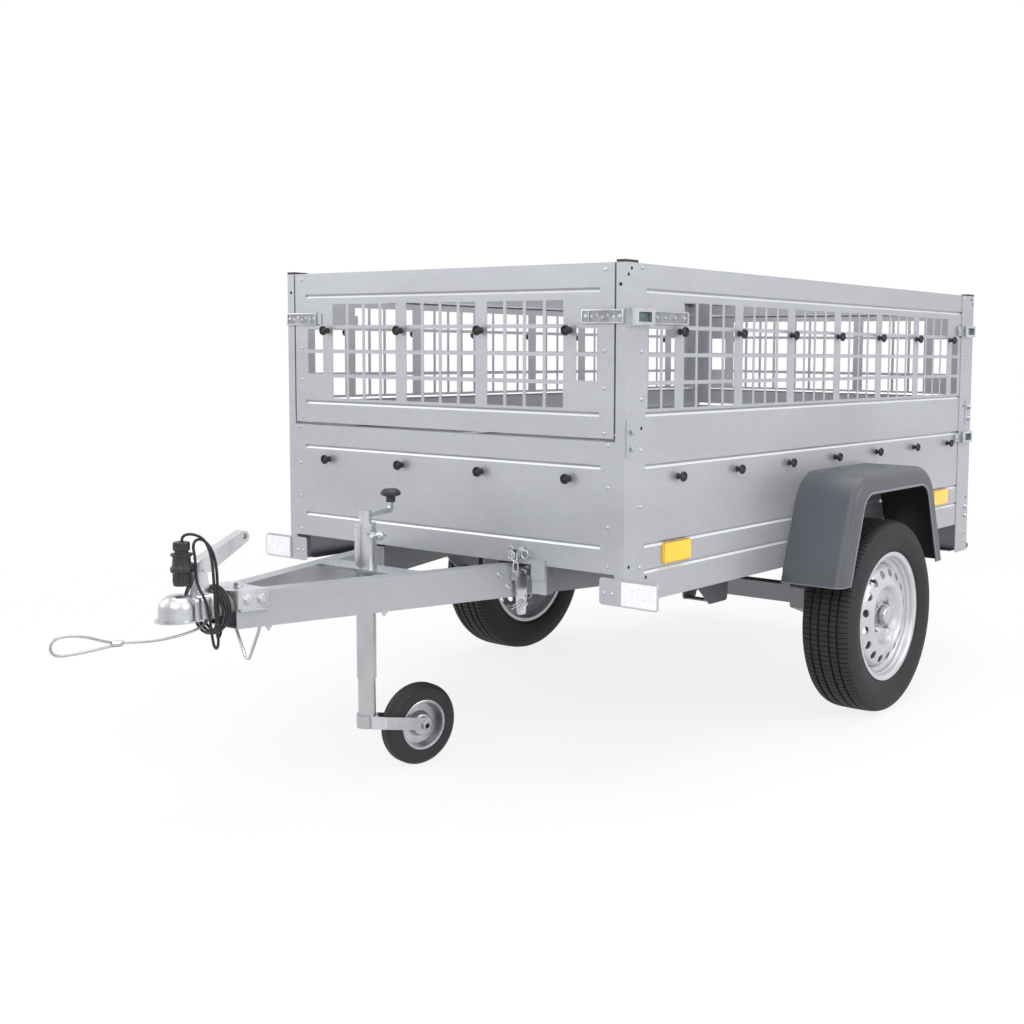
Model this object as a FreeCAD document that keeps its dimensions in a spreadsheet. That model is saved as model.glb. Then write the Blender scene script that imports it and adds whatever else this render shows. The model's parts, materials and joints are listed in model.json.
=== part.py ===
import FreeCAD
import Part

import math
import os
import re

import Sketcher
from FreeCAD import Placement, Rotation, Vector

# Single axle box trailer with mesh upper sides, a tilting drawbar and a jockey wheel.
# X runs to the trailer's left, Y to the rear and Z up. Every piece is drawn from the axle line,
# at Y zero, and then set back by axle_back, so that the finished trailer is centred on the origin.
# All sizes are millimetres, and angles are degrees.

SIZES = {
    # Place of the axle line behind the middle of the trailer's length
    "axle_back": 445.5,
    # Main wheels, 155/70 R13 on a 4.5 inch rim
    "wheel_radius": 273.5,
    "track_half": 668.0,
    "tyre_half": 78.5,
    "tread_half": 60.0,
    "bulge_radius": 228.0,
    "shoulder_radius": 267.0,
    "tyre_wall": 11.0,
    "rim_half": 65.0,
    "flange_radius": 183.0,
    "bead_radius": 172.0,
    "well_radius": 150.0,
    "rim_wall": 4.0,
    "bead_gap": 0.3,
    "pad_offset": 30.0,
    "pad_radius": 72.0,
    "crest_radius": 90.0,
    "crest_rise": 26.0,
    "disc_edge": 20.0,
    "vent_offset": 40.0,
    "vent_ring_radius": 128.0,
    "vent_radius": 11.5,
    "vent_count": 16.0,
    "hub_flange_radius": 66.0,
    "hub_flange_thick": 11.0,
    "hub_barrel_radius": 36.0,
    "hub_barrel_length": 78.0,
    "hub_nose_radius": 28.0,
    "hub_nose_length": 22.0,
    "hub_bore_depth": 25.0,
    "stub_radius": 15.0,
    "stub_gap": 0.05,
    # Axle, a square beam with a trailing arm at each end
    "beam_size": 50.0,
    "beam_ahead": 140.0,
    "beam_height": 335.0,
    "beam_wall": 4.0,
    "beam_half": 505.0,
    "arm_end_thick": 45.0,
    "axle_bracket_width": 25.0,
    "axle_bracket_length": 60.0,
    # Load box
    "box_half": 570.0,
    "box_front": 1050.0,
    "box_rear": 950.0,
    "side_bottom": 437.0,
    "front_bottom": 508.0,
    "split_height": 810.0,
    "box_top": 1212.0,
    "sheet": 1.5,
    "side_foot": 40.0,
    "front_foot": 30.0,
    "rim_fold": 25.0,
    "rim_lip": 14.0,
    "groove_depth": 4.0,
    "groove_half": 5.0,
    "groove_sill": 508.0,
    "groove_low": 568.0,
    "groove_high": 751.0,
    "groove_mesh_low": 871.0,
    "groove_mesh_high": 1152.0,
    "floor_thick": 9.0,
    "floor_rear_gap": 35.0,
    # Corner posts
    "post_width": 26.0,
    "post_depth": 47.0,
    "post_wall": 2.0,
    "front_post_flange": 79.0,
    "rear_post_flange": 98.0,
    "rear_post_bottom": 340.0,
    "joint_plate_low": 775.0,
    "joint_plate_high": 862.0,
    "joint_plate_length": 44.0,
    "cap_thick": 6.0,
    # Mesh windows between the tarpaulin buttons
    "window_low": 883.0,
    "window_high": 1130.0,
    "rib": 9.4,
    "button_column": 38.0,
    "front_pitch": 274.0,
    "side_pitch": 265.3,
    "first_side_button": 832.0,
    "end_window_inner": 430.0,
    "end_window_width": 60.0,
    # Gates: the two mesh gates and the tailgate
    "end_strip": 41.0,
    "strip_thick": 3.0,
    "gate_side_gap": 5.0,
    "gate_bottom_gap": 7.0,
    "gate_top_gap": 2.0,
    "gate_return": 25.0,
    "gate_return_thick": 2.5,
    "pin_radius": 3.0,
    "pin_gap": 0.08,
    "pin_inset": 6.0,
    "pin_rise": 8.0,
    "pin_reach": 6.0,
    # Toggle latches
    "latch_height": 1092.0,
    "rear_latch_height": 735.0,
    "strap_width": 28.0,
    "strap_thick": 3.0,
    "strap_reach": 135.0,
    "latch_length": 100.0,
    "latch_half": 21.0,
    "latch_thick": 14.0,
    "latch_rim": 10.0,
    "latch_tail_half": 15.0,
    "front_latch_tail": 147.0,
    "rear_latch_tail": 36.0,
    # Cross members under the floor
    "member_width": 46.0,
    "member_wall": 3.0,
    "member_middle_y": 330.0,
    "member_rear_y": 790.0,
    # Drawbar
    "bar_width": 40.0,
    "bar_depth": 78.0,
    "bar_wall": 3.0,
    "bar_top": 503.0,
    "bar_front": 1702.0,
    "bar_front_half": 25.0,
    "bar_rear_half": 407.0,
    "pivot_ahead": 470.0,
    "pivot_radius": 8.0,
    "pivot_gap": 0.08,
    "bar_tail": 15.0,
    "bush_radius": 15.0,
    "cheek_thick": 4.0,
    "cheek_half_gap": 44.0,
    "cheek_bottom": 350.0,
    "cheek_front": 150.0,
    "inner_cheek_front": 36.0,
    "inner_cheek_foot": 26.0,
    "cheek_rear": 50.0,
    "cheek_foot_half": 40.0,
    # Coupling for a 50 mm ball
    "ball_ahead": 1814.0,
    "ball_height": 475.0,
    "socket_radius": 25.4,
    "head_radius": 38.0,
    "head_rise": 35.0,
    "lip_radius": 45.0,
    "lip_drop": 16.0,
    "lip_thick": 4.0,
    "neck_half": 27.0,
    "cheek_plate": 4.0,
    "plate_rear": 1638.0,
    "plate_low": 463.0,
    "plate_brim": 8.0,
    "brim_half": 42.0,
    "front_neck_half": 34.0,
    "front_neck_end": 70.0,
    "link_half": 10.0,
    "link_thick": 3.0,
    "lever_wall": 3.0,
    "lever_gap": 0.3,
    "lever_hole_radius": 5.5,
    # Latch of the tilting bed, beside the front panel
    "tilt_latch_ahead": 1036.0,
    "tilt_block_half": 24.0,
    "tilt_boss_radius": 8.0,
    "tilt_boss_apart": 16.0,
    "catch_apart": 52.0,
    "catch_width": 42.0,
    "catch_depth": 28.0,
    "catch_low": 438.0,
    "catch_plate": 4.0,
    "eye_radius": 15.0,
    "eye_hole_radius": 8.0,
    "eye_apart": 38.0,
    "eye_rise": 26.0,
    # Jockey wheel
    "jockey_ahead": 1300.0,
    "tube_radius": 23.0,
    "tube_wall": 2.0,
    "tube_low": 238.0,
    "tube_high": 607.0,
    "sleeve_gap": 0.3,
    "sleeve_wall": 2.2,
    "sleeve_top": 597.0,
    "clamp_height": 581.0,
    "stem_gap": 0.3,
    "stem_wall": 3.0,
    "stem_low": 117.0,
    "stem_high": 440.0,
    "jockey_turn": 10.0,
    "jockey_trail": 146.0,
    "jockey_radius": 100.0,
    "jockey_half": 24.0,
    "jockey_rim_radius": 58.0,
    "jockey_rim_wall": 3.0,
    "jockey_axle_radius": 8.0,
    "jockey_axle_gap": 0.08,
    "fork_gap": 4.0,
    "fork_thick": 4.0,
    "collar_wall": 4.0,
    "collar_gap": 0.08,
    "collar_height": 30.0,
    "brace_length": 72.0,
    "brace_thick": 6.0,
    "crank_radius": 14.0,
    "crank_rise": 30.0,
    "crank_rod": 10.0,
    # Mudguards
    "guard_outer": 752.0,
    "guard_wall": 4.0,
    "guard_bottom": 397.0,
    "guard_top": 690.0,
    "guard_foot_half": 335.0,
    "guard_head_half": 236.0,
    "guard_corner": 110.0,
    "guard_edge": 12.0,
    "guard_arch_top": 635.0,
    "guard_arch_foot_half": 278.0,
    "guard_arch_head_half": 197.0,
    "guard_arch_corner": 70.0,
    # Lamps, reflectors and buffers
    "reflector_length": 108.0,
    "reflector_height": 50.0,
    "reflector_thick": 8.0,
    "reflector_low": 518.0,
    "reflector_corner": 5.0,
    "front_reflector_start": 893.0,
    "rear_reflector_start": 655.0,
    "bracket_inner": 503.0,
    "bracket_outer": 669.0,
    "bracket_top": 500.0,
    "bracket_thick": 2.0,
    "bracket_corner": 9.0,
    "white_inner": 566.0,
    "white_thick": 4.0,
    "lamp_bar_depth": 40.0,
    "lamp_bar_top": 437.0,
    "lamp_width": 210.0,
    "lamp_height": 80.0,
    "lamp_depth": 36.0,
    "lamp_inner": 325.0,
    "buffer_radius": 12.0,
    "buffer_length": 18.0,
    # Lighting cable and safety rope
    "cable_diameter": 8.0,
    "coil_turns": 3.0,
    "coil_inner": 39.1,
    "coil_wall": 13.0,
    "coil_front": 1739.0,
    "plug_ahead": 1801.0,
    "plug_low": 527.0,
    "gland_ahead": 1684.0,
    "gland_radius": 9.0,
    "rope_diameter": 5.0,
}

FUNCTIONS = ("sin", "cos", "tan", "atan", "sqrt", "min", "max")

doc = FreeCAD.newDocument("BoxTrailer")
sheet = doc.addObject("Spreadsheet::Sheet", "Sizes")
pieces = []


def fill_sheet():
    """Write each size and its name into the sheet, and give its cell that name."""
    for row, (name, size) in enumerate(SIZES.items(), 1):
        sheet.set(f"A{row}", name)
        sheet.set(f"B{row}", str(size))
        sheet.setAlias(f"B{row}", name)
    doc.recompute()


def formula(text):
    """Point each size name in a formula at its cell in the sheet."""
    return re.sub(r"[a-z_]+", lambda word: f"Sizes.{word.group()}" if word.group() in SIZES else word.group(), text)


def number(text):
    """The value of a formula in sizes."""
    value = sheet.evalExpression(formula(text))
    return float(getattr(value, "Value", value))


def bind(item, place, text):
    item.setExpression(place, formula(text))


# Helpers for bodies and sketches


def new_body(label, x="0", y="0", z="0", axis=Vector(0, 0, 1), turn="0"):
    """A body whose own origin lies at x, y, z from the axle line, turned about an axis."""
    body = doc.addObject("PartDesign::Body", label)
    body.Label = label
    body.Placement = Placement(Vector(0, 0, 0), Rotation(axis, number(turn) or 1.0))
    bind(body, "Placement.Base.x", x)
    bind(body, "Placement.Base.y", f"axle_back + ({y})")
    bind(body, "Placement.Base.z", z)
    bind(body, "Placement.Rotation.Angle", f"({turn}) * 1 deg")
    pieces.append(body)
    return body


def origin_item(body, role):
    for item in body.Origin.OriginFeatures:
        if item.Role == role:
            return item
    raise ValueError(role)


def new_sketch(body, plane, height):
    """A sketch on one of the body's origin planes, moved to a height along X, Y or Z."""
    sketch = body.newObject("Sketcher::SketchObject", f"{body.Name}_outline")
    sketch.AttachmentSupport = [(origin_item(body, f"{plane}_Plane"), "")]
    sketch.MapMode = "FlatFace"
    sign = "-" if plane == "XZ" else ""
    bind(sketch, "AttachmentOffset.Base.z", f"{sign}({height})")
    return sketch


def hold(sketch, kind, item, point, value, text):
    """One distance from the sketch's origin, bound to the sheet."""
    index = sketch.addConstraint(Sketcher.Constraint(kind, -1, 1, item, point, value))
    bind(sketch, f"Constraints[{index}]", text)


def draw_circle(sketch, across, up, radius):
    centre = Vector(number(across), number(up), 0)
    item = sketch.addGeometry(Part.Circle(centre, Vector(0, 0, 1), number(radius)), False)
    hold(sketch, "DistanceX", item, 3, centre.x, across)
    hold(sketch, "DistanceY", item, 3, centre.y, up)
    index = sketch.addConstraint(Sketcher.Constraint("Radius", item, number(radius)))
    bind(sketch, f"Constraints[{index}]", radius)


def corner_arc(before, corner, after, radius):
    """Where a corner's arc starts and ends, its centre, and whether the outline turns left there."""
    inward = (before - corner).normalize()
    onward = (after - corner).normalize()
    half = math.acos(max(-1.0, min(1.0, inward.dot(onward)))) / 2
    reach = radius / math.tan(half)
    middle = (inward + onward).normalize()
    centre = corner + middle * (radius / math.sin(half))
    left = (corner - before).cross(after - corner).z > 0
    return corner + inward * reach, corner + onward * reach, centre, left


def draw_outline(sketch, corners):
    """A closed outline. A corner is (across, up) or, where it is rounded, (across, up, radius)."""
    spots = [Vector(number(corner[0]), number(corner[1]), 0) for corner in corners]
    count = len(corners)
    arcs = {}
    for k, corner in enumerate(corners):
        if len(corner) == 3:
            arcs[k] = corner_arc(spots[k - 1], spots[k], spots[(k + 1) % count], number(corner[2]))
    lines = []
    for k in range(count):
        start = arcs[k][1] if k in arcs else spots[k]
        after = (k + 1) % count
        end = arcs[after][0] if after in arcs else spots[after]
        lines.append(sketch.addGeometry(Part.LineSegment(start, end), False))
    for k, corner in enumerate(corners):
        arriving = lines[k - 1]
        leaving = lines[k]
        if k not in arcs:
            sketch.addConstraint(Sketcher.Constraint("Coincident", arriving, 2, leaving, 1))
            hold(sketch, "DistanceX", leaving, 1, spots[k].x, corner[0])
            hold(sketch, "DistanceY", leaving, 1, spots[k].y, corner[1])
            continue
        start, end, centre, left = arcs[k]
        radius = number(corner[2])
        first = start if left else end
        last = end if left else start
        angles = [math.atan2(spot.y - centre.y, spot.x - centre.x) for spot in (first, last)]
        if angles[1] < angles[0]:
            angles[1] += 2 * math.pi
        arc = sketch.addGeometry(Part.ArcOfCircle(Part.Circle(centre, Vector(0, 0, 1), radius), *angles), False)
        spot = sketch.addGeometry(Part.Point(spots[k]), True)
        hold(sketch, "DistanceX", spot, 1, spots[k].x, corner[0])
        hold(sketch, "DistanceY", spot, 1, spots[k].y, corner[1])
        sketch.addConstraint(Sketcher.Constraint("PointOnObject", spot, 1, arriving))
        sketch.addConstraint(Sketcher.Constraint("PointOnObject", spot, 1, leaving))
        sketch.addConstraint(Sketcher.Constraint("Tangent", arriving, 2, arc, 1 if left else 2))
        sketch.addConstraint(Sketcher.Constraint("Tangent", leaving, 1, arc, 2 if left else 1))
        index = sketch.addConstraint(Sketcher.Constraint("Radius", arc, radius))
        bind(sketch, f"Constraints[{index}]", corner[2])


def draw(sketch, loops):
    """Draw each loop: a tuple of three texts is a circle, and a list is an outline."""
    for loop in loops:
        if isinstance(loop, tuple):
            draw_circle(sketch, *loop)
        else:
            draw_outline(sketch, loop)


def prism(body, plane, low, high, *loops, cut=False):
    """Pad or pocket loops between two heights along the plane's normal axis."""
    sketch = new_sketch(body, plane, high if plane == "XZ" else low)
    draw(sketch, loops)
    kind = "Pocket" if cut else "Pad"
    feature = body.newObject(f"PartDesign::{kind}", f"{body.Name}_{kind.lower()}")
    feature.Profile = sketch
    feature.Reversed = cut
    bind(feature, "Length", f"({high}) - ({low})")
    return feature


def turned(body, plane, axis, *loops, cut=False):
    """Revolve loops about the sketch's upright or level axis, or cut them as a groove."""
    sketch = new_sketch(body, plane, "0")
    draw(sketch, loops)
    kind = "Groove" if cut else "Revolution"
    feature = body.newObject(f"PartDesign::{kind}", f"{body.Name}_{kind.lower()}")
    feature.Profile = sketch
    feature.ReferenceAxis = (sketch, [f"{axis}_Axis"])
    feature.Angle = 360.0
    return feature


def block(x0, x1, y0, y1, *radius):
    """The four corners of a rectangle, rounded where a radius is given."""
    return [(x0, y0, *radius), (x1, y0, *radius), (x1, y1, *radius), (x0, y1, *radius)]


def rows(body, feature, axis, spacing, copies, second=None):
    """Repeat a feature along one axis, or along two."""
    pattern = body.newObject("PartDesign::LinearPattern", f"{body.Name}_pattern")
    pattern.Originals = [feature]
    pattern.Direction = (origin_item(body, f"{axis}_Axis"), [""])
    bind(pattern, "Length", f"({spacing}) * {copies - 1}")
    pattern.Occurrences = copies
    if second:
        axis, spacing, copies = second
        pattern.Direction2 = (origin_item(body, f"{axis}_Axis"), [""])
        bind(pattern, "Length2", f"({spacing}) * {copies - 1}")
        pattern.Occurrences2 = copies
    body.Tip = pattern
    return pattern


def edges_where(feature, test):
    """The names of the edges of a feature that pass a test."""
    doc.recompute()
    return [f"Edge{k}" for k, edge in enumerate(feature.Shape.Edges, 1) if test(edge)]


def soften(body, feature, radius, test):
    """Round the edges of a feature that pass a test."""
    fillet = body.newObject("PartDesign::Fillet", f"{body.Name}_fillet")
    fillet.Base = (feature, edges_where(feature, test))
    bind(fillet, "Radius", radius)
    return fillet


def sided(side, inner, outer):
    """The low and high X of something between two distances from the centre plane."""
    if side > 0:
        return inner, outer
    return f"-({outer})", f"-({inner})"


SIDES = (("left", 1), ("right", -1))

SIDE_FACE = "(box_half - post_wall)"
BAR_SLOPE = "((bar_rear_half - bar_front_half) / (bar_front - pivot_ahead))"
BAR_ANGLE = f"atan({BAR_SLOPE})"
BAR_MIDDLE = "(bar_top - bar_depth / 2)"
BAR_HALF = f"(bar_width / 2 / cos({BAR_ANGLE}))"


def bar_centre(ahead):
    """X of the drawbar arm's centre line at a distance ahead of the axle."""
    return f"(bar_rear_half - ({ahead} - pivot_ahead) * {BAR_SLOPE})"


def folded_sheet(face, inward, bottom, top, grooves, foot):
    """Section of a pressed panel: V grooves, a folded foot and a folded rim with a lip."""
    far = f"{face} {inward} sheet"
    section = [(face, bottom)]
    for groove in grooves:
        section += [(face, f"{groove} - groove_half"), (f"{face} {inward} groove_depth", groove)]
        section += [(face, f"{groove} + groove_half")]
    section += [(face, top), (f"{face} {inward} rim_fold", top)]
    section += [(f"{face} {inward} rim_fold", f"{top} - rim_lip")]
    section += [(f"{face} {inward} (rim_fold - sheet)", f"{top} - rim_lip")]
    section += [(f"{face} {inward} (rim_fold - sheet)", f"{top} - sheet"), (far, f"{top} - sheet")]
    for groove in reversed(grooves):
        section += [(far, f"{groove} + groove_half"), (f"{far} {inward} groove_depth", groove)]
        section += [(far, f"{groove} - groove_half")]
    section += [(far, f"{bottom} + sheet"), (f"{face} {inward} {foot}", f"{bottom} + sheet")]
    section += [(f"{face} {inward} {foot}", bottom)]
    return section


# Mesh windows


WINDOW_HEIGHT = "((window_high - window_low - 3 * rib) / 4)"
ROW_PITCH = f"({WINDOW_HEIGHT} + rib)"


def window_bays(body, plane, low, high, start, pitch, bays, flip=""):
    """Cut the four by four windows of each bay between two columns of buttons."""
    width = f"((({pitch}) - button_column - 3 * rib) / 4)"
    windows = []
    for k in range(4):
        left = f"{start} + {k} * ({width} + rib)"
        windows.append(block(f"{flip}({left})", f"{flip}({left} + {width})", "window_low",
                             f"window_low + {WINDOW_HEIGHT}"))
    cut = prism(body, plane, low, high, *windows, cut=True)
    axis = "Y" if plane == "YZ" else "X"
    return rows(body, cut, "Z", ROW_PITCH, 4, (axis, pitch, bays))


def window_column(body, plane, low, high, start, end, levels):
    """Cut one column of windows at the given levels of the mesh."""
    windows = []
    for level in levels:
        sill = f"window_low + {level} * {ROW_PITCH}"
        windows.append(block(start, end, sill, f"{sill} + {WINDOW_HEIGHT}"))
    return prism(body, plane, low, high, *windows, cut=True)


# Load box


def make_floor():
    body = new_body("load_floor")
    inner = f"({SIDE_FACE} - sheet - groove_depth)"
    notch = "(box_half - post_width)"
    front = "-(box_front - strip_thick)"
    rear = "(box_rear - floor_rear_gap)"
    front_notch = "-(box_front - post_depth)"
    rear_notch = "(box_rear - post_depth)"
    outline = [(f"-{notch}", front), (notch, front), (notch, front_notch), (inner, front_notch),
               (inner, rear_notch), (notch, rear_notch), (notch, rear), (f"-{notch}", rear),
               (f"-{notch}", rear_notch), (f"-{inner}", rear_notch), (f"-{inner}", front_notch),
               (f"-{notch}", front_notch)]
    prism(body, "XY", "front_bottom + sheet", "front_bottom + sheet + floor_thick", outline)


def make_cross_members():
    """Channels across the box, open to the rear, between the feet of the side panels."""
    body = new_body("cross_members")
    low = "(side_bottom + sheet)"
    high = "(front_bottom + sheet)"
    starts = ("-(pivot_ahead - cheek_rear)", "-(beam_ahead + member_width / 2)", "member_middle_y",
              "member_rear_y")
    reach = f"{SIDE_FACE} - sheet - groove_depth"
    for start in starts:
        inner = f"{start} + member_wall"
        end = f"{start} + member_width"
        channel = [(start, low), (end, low), (end, f"{low} + member_wall"), (inner, f"{low} + member_wall"),
                   (inner, f"{high} - member_wall"), (end, f"{high} - member_wall"), (end, high), (start, high)]
        prism(body, "YZ", f"-({reach})", reach, channel)


def make_side_panels():
    for name, side in SIDES:
        body = new_body(f"side_panel_{name}")
        inward = "-" if side > 0 else "+"
        section = folded_sheet(f"{side} * {SIDE_FACE}", inward, "side_bottom", "split_height",
                               ["groove_sill", "groove_low", "groove_high"], "side_foot")
        prism(body, "XZ", "-(box_front - post_depth)", "box_rear - post_depth", section)


def make_side_meshes():
    for name, side in SIDES:
        body = new_body(f"side_mesh_{name}")
        inward = "-" if side > 0 else "+"
        section = folded_sheet(f"{side} * {SIDE_FACE}", inward, "split_height", "box_top",
                               ["groove_mesh_low", "groove_mesh_high"], "rim_fold")
        prism(body, "XZ", "-(box_front - post_depth)", "box_rear - post_depth", section)
        low, high = sided(side, f"{SIDE_FACE} - sheet - groove_depth", f"{SIDE_FACE} + sheet")
        start = "-first_side_button + button_column / 2"
        width = "((side_pitch - button_column - 3 * rib) / 4)"
        window_bays(body, "YZ", low, high, start, "side_pitch", 6)
        first = "-(first_side_button + button_column / 2)"
        window_column(body, "YZ", low, high, f"{first} - {width}", first, (0, 1, 2))
        window_column(body, "YZ", low, high, f"{first} - 2 * {width} - rib", f"{first} - {width} - rib", (0, 1, 2))
        last = "(6 * side_pitch - first_side_button + button_column / 2)"
        window_column(body, "YZ", low, high, last, f"{last} + {width}", (0, 1, 2))


def make_front_panel():
    body = new_body("front_panel")
    inner = "(box_half - post_width)"
    section = folded_sheet("-box_front", "+", "front_bottom", "split_height", ["groove_low", "groove_high"],
                           "front_foot")
    prism(body, "YZ", f"-({inner} - end_strip)", f"{inner} - end_strip", section)
    strips = [block(f"-{inner}", f"-({inner} - end_strip)", "front_bottom", "split_height"),
              block(f"{inner} - end_strip", inner, "front_bottom", "split_height")]
    prism(body, "XZ", "-box_front", "-box_front + strip_thick", *strips)


def post_section(side, end, flange):
    """Plan of a corner post: a box tube with a flange that overlaps the side panel.

    end is the sign of the end's Y, and flange the post's length along the side.
    """
    face = "box_front" if end < 0 else "box_rear"
    toward = "+" if end < 0 else "-"
    edge = f"{'-' if end < 0 else ''}{face}"
    x = [f"{side} * ({text})" for text in
         ("box_half - post_width", "box_half", "box_half - post_wall", "box_half - post_width + post_wall")]
    outer = [(x[0], edge), (x[1], edge), (x[1], f"{edge} {toward} {flange}"), (x[2], f"{edge} {toward} {flange}"),
             (x[2], f"{edge} {toward} post_depth"), (x[0], f"{edge} {toward} post_depth")]
    inner = [(x[3], f"{edge} {toward} post_wall"), (x[2], f"{edge} {toward} post_wall"),
             (x[2], f"{edge} {toward} (post_depth - post_wall)"),
             (x[3], f"{edge} {toward} (post_depth - post_wall)")]
    return outer, inner


def pin_hole(body, side, y, z):
    """A hole for a gate's pin in the post's inner wall."""
    low, high = sided(side, "box_half - post_width - 1", "box_half - post_width + post_wall + 1")
    prism(body, "YZ", low, high, (y, z, "pin_radius + pin_gap"), cut=True)


def make_posts():
    for name, side in SIDES:
        body = new_body(f"front_post_{name}")
        outer, inner = post_section(side, -1, "front_post_flange")
        prism(body, "XY", "side_bottom", "box_top", outer, inner)
        low, high = sided(side, "box_half", "box_half + post_wall")
        plate = block("-box_front + 5", "-box_front + 5 + joint_plate_length", "joint_plate_low",
                      "joint_plate_high")
        prism(body, "YZ", low, high, plate)
        pin_hole(body, side, "-box_front + pin_inset", "split_height + gate_bottom_gap + pin_rise")
    for name, side in SIDES:
        body = new_body(f"rear_post_{name}")
        outer, inner = post_section(side, 1, "rear_post_flange")
        prism(body, "XY", "rear_post_bottom", "box_top", outer, inner)
        low, high = sided(side, "box_half", "box_half + post_wall")
        plate = block("box_rear - 5 - joint_plate_length", "box_rear - 5", "joint_plate_low", "joint_plate_high")
        prism(body, "YZ", low, high, plate)
        pin_hole(body, side, "box_rear - pin_inset", "split_height + gate_bottom_gap + pin_rise")
        pin_hole(body, side, "box_rear - pin_inset", "front_bottom + sheet + gate_bottom_gap + pin_rise")


def make_post_caps():
    body = new_body("post_caps")
    for side in (1, -1):
        low, high = sided(side, "box_half - post_width", "box_half")
        for start, end in (("-box_front", "-box_front + post_depth"), ("box_rear - post_depth", "box_rear")):
            prism(body, "XY", "box_top", "box_top + cap_thick", block(low, high, start, end))


# Gates


def gate_frame(body, face, sign, bottom, top, grooves):
    """A hinged panel with riveted end strips, folded ends and a pin at each lower corner."""
    inward = "+" if sign < 0 else "-"
    outer = "(box_half - post_width - gate_side_gap)"
    section = folded_sheet(face, inward, bottom, top, grooves, "rim_fold")
    prism(body, "YZ", f"-({outer} - end_strip)", f"{outer} - end_strip", section)
    near, far = (face, f"{face} + strip_thick") if sign < 0 else (f"{face} - strip_thick", face)
    deep = (face, f"{face} + gate_return") if sign < 0 else (f"{face} - gate_return", face)
    prism(body, "XZ", near, far, block(f"-{outer}", f"-({outer} - end_strip)", bottom, top),
          block(f"{outer} - end_strip", outer, bottom, top))
    prism(body, "XZ", deep[0], deep[1], block(f"-{outer}", f"-({outer} - gate_return_thick)", bottom, top),
          block(f"{outer} - gate_return_thick", outer, bottom, top))
    pin = (f"{face} {inward} pin_inset", f"{bottom} + pin_rise", "pin_radius")
    reach = f"{outer} + gate_side_gap + pin_reach"
    prism(body, "YZ", f"{outer} - 8", reach, pin)
    prism(body, "YZ", f"-({reach})", f"-({outer} - 8)", pin)


def gate_straps(body, face, sign, height):
    """The perforated strap of each toggle latch, standing clear of the post it reaches over."""
    outer = "(box_half - post_width - gate_side_gap)"
    end = "box_half - 2"
    low = f"{height} - strap_width / 2"
    high = f"{height} + strap_width / 2"
    for side in (1, -1):
        x0, x1 = sided(side, f"{end} - strap_reach", f"{outer}")
        x2, x3 = sided(side, f"{outer} - 1", end)
        if sign < 0:
            prism(body, "XZ", f"{face} - strap_thick", face, block(x0, x1, low, high))
            prism(body, "XZ", f"{face} - strap_thick", f"{face} - strap_thick / 3", block(x2, x3, low, high))
        else:
            prism(body, "XZ", face, f"{face} + strap_thick", block(x0, x1, low, high))
            prism(body, "XZ", f"{face} + strap_thick / 3", f"{face} + strap_thick", block(x2, x3, low, high))


def make_mesh_gate(label, face, sign):
    body = new_body(label)
    bottom = "(split_height + gate_bottom_gap)"
    gate_frame(body, face, sign, bottom, "box_top", ["groove_mesh_low", "groove_mesh_high"])
    low, high = (f"{face} - sheet", f"{face} + strip_thick + groove_depth")
    if sign > 0:
        low, high = (f"{face} - strip_thick - groove_depth", f"{face} + sheet")
    window_bays(body, "XZ", low, high, "-(1.5 * front_pitch - button_column / 2)", "front_pitch", 3)
    for side in (1, -1):
        start, end = sided(side, "end_window_inner", "end_window_inner + end_window_width")
        window_column(body, "XZ", low, high, start, end, (1, 2))
    gate_straps(body, face, sign, "latch_height")


def make_tailgate():
    body = new_body("tailgate")
    bottom = "(front_bottom + sheet + gate_bottom_gap)"
    gate_frame(body, "box_rear", 1, bottom, "split_height - gate_top_gap", ["groove_low", "groove_high"])
    gate_straps(body, "box_rear", 1, "rear_latch_height")


def make_corner_latches():
    """Toggle latches on the posts: a plate, a raised frame round the lever's well and a strap along the side."""
    body = new_body("corner_latches")
    front = "(-box_front + 2)"
    rear = "(box_rear - 2)"
    spots = [(front, f"{front} + latch_length", "front_latch_tail", "latch_height"),
             (f"{rear} - latch_length", rear, "-rear_latch_tail", "latch_height"),
             (f"{rear} - latch_length", rear, "-rear_latch_tail", "rear_latch_height")]
    for side in (1, -1):
        face = sided(side, "box_half", "box_half + strap_thick")
        strap = sided(side, SIDE_FACE, "box_half + strap_thick")
        frame = sided(side, "box_half", "box_half + latch_thick")
        well = sided(side, "box_half + strap_thick", "box_half + latch_thick + 1")
        for start, end, tail, height in spots:
            low = f"{height} - latch_half"
            high = f"{height} + latch_half"
            prism(body, "YZ", *face, block(start, end, low, high))
            root = end if tail.startswith("front") else start
            tail_ends = (f"{root} - 1", f"{root} + {tail}") if root == end else (f"{root} {tail}", f"{root} + 1")
            prism(body, "YZ", *strap, block(*tail_ends, f"{height} - latch_tail_half", f"{height} + latch_tail_half"))
            prism(body, "YZ", *frame, block(f"{start} + latch_rim", f"{end} - latch_rim", f"{low} + 2", f"{high} - 2"))
            prism(body, "YZ", *well, block(f"{start} + 3 * latch_rim", f"{end} - 2 * latch_rim",
                                           f"{low} + latch_rim", f"{high} - latch_rim"), cut=True)


# Mudguards


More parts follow.
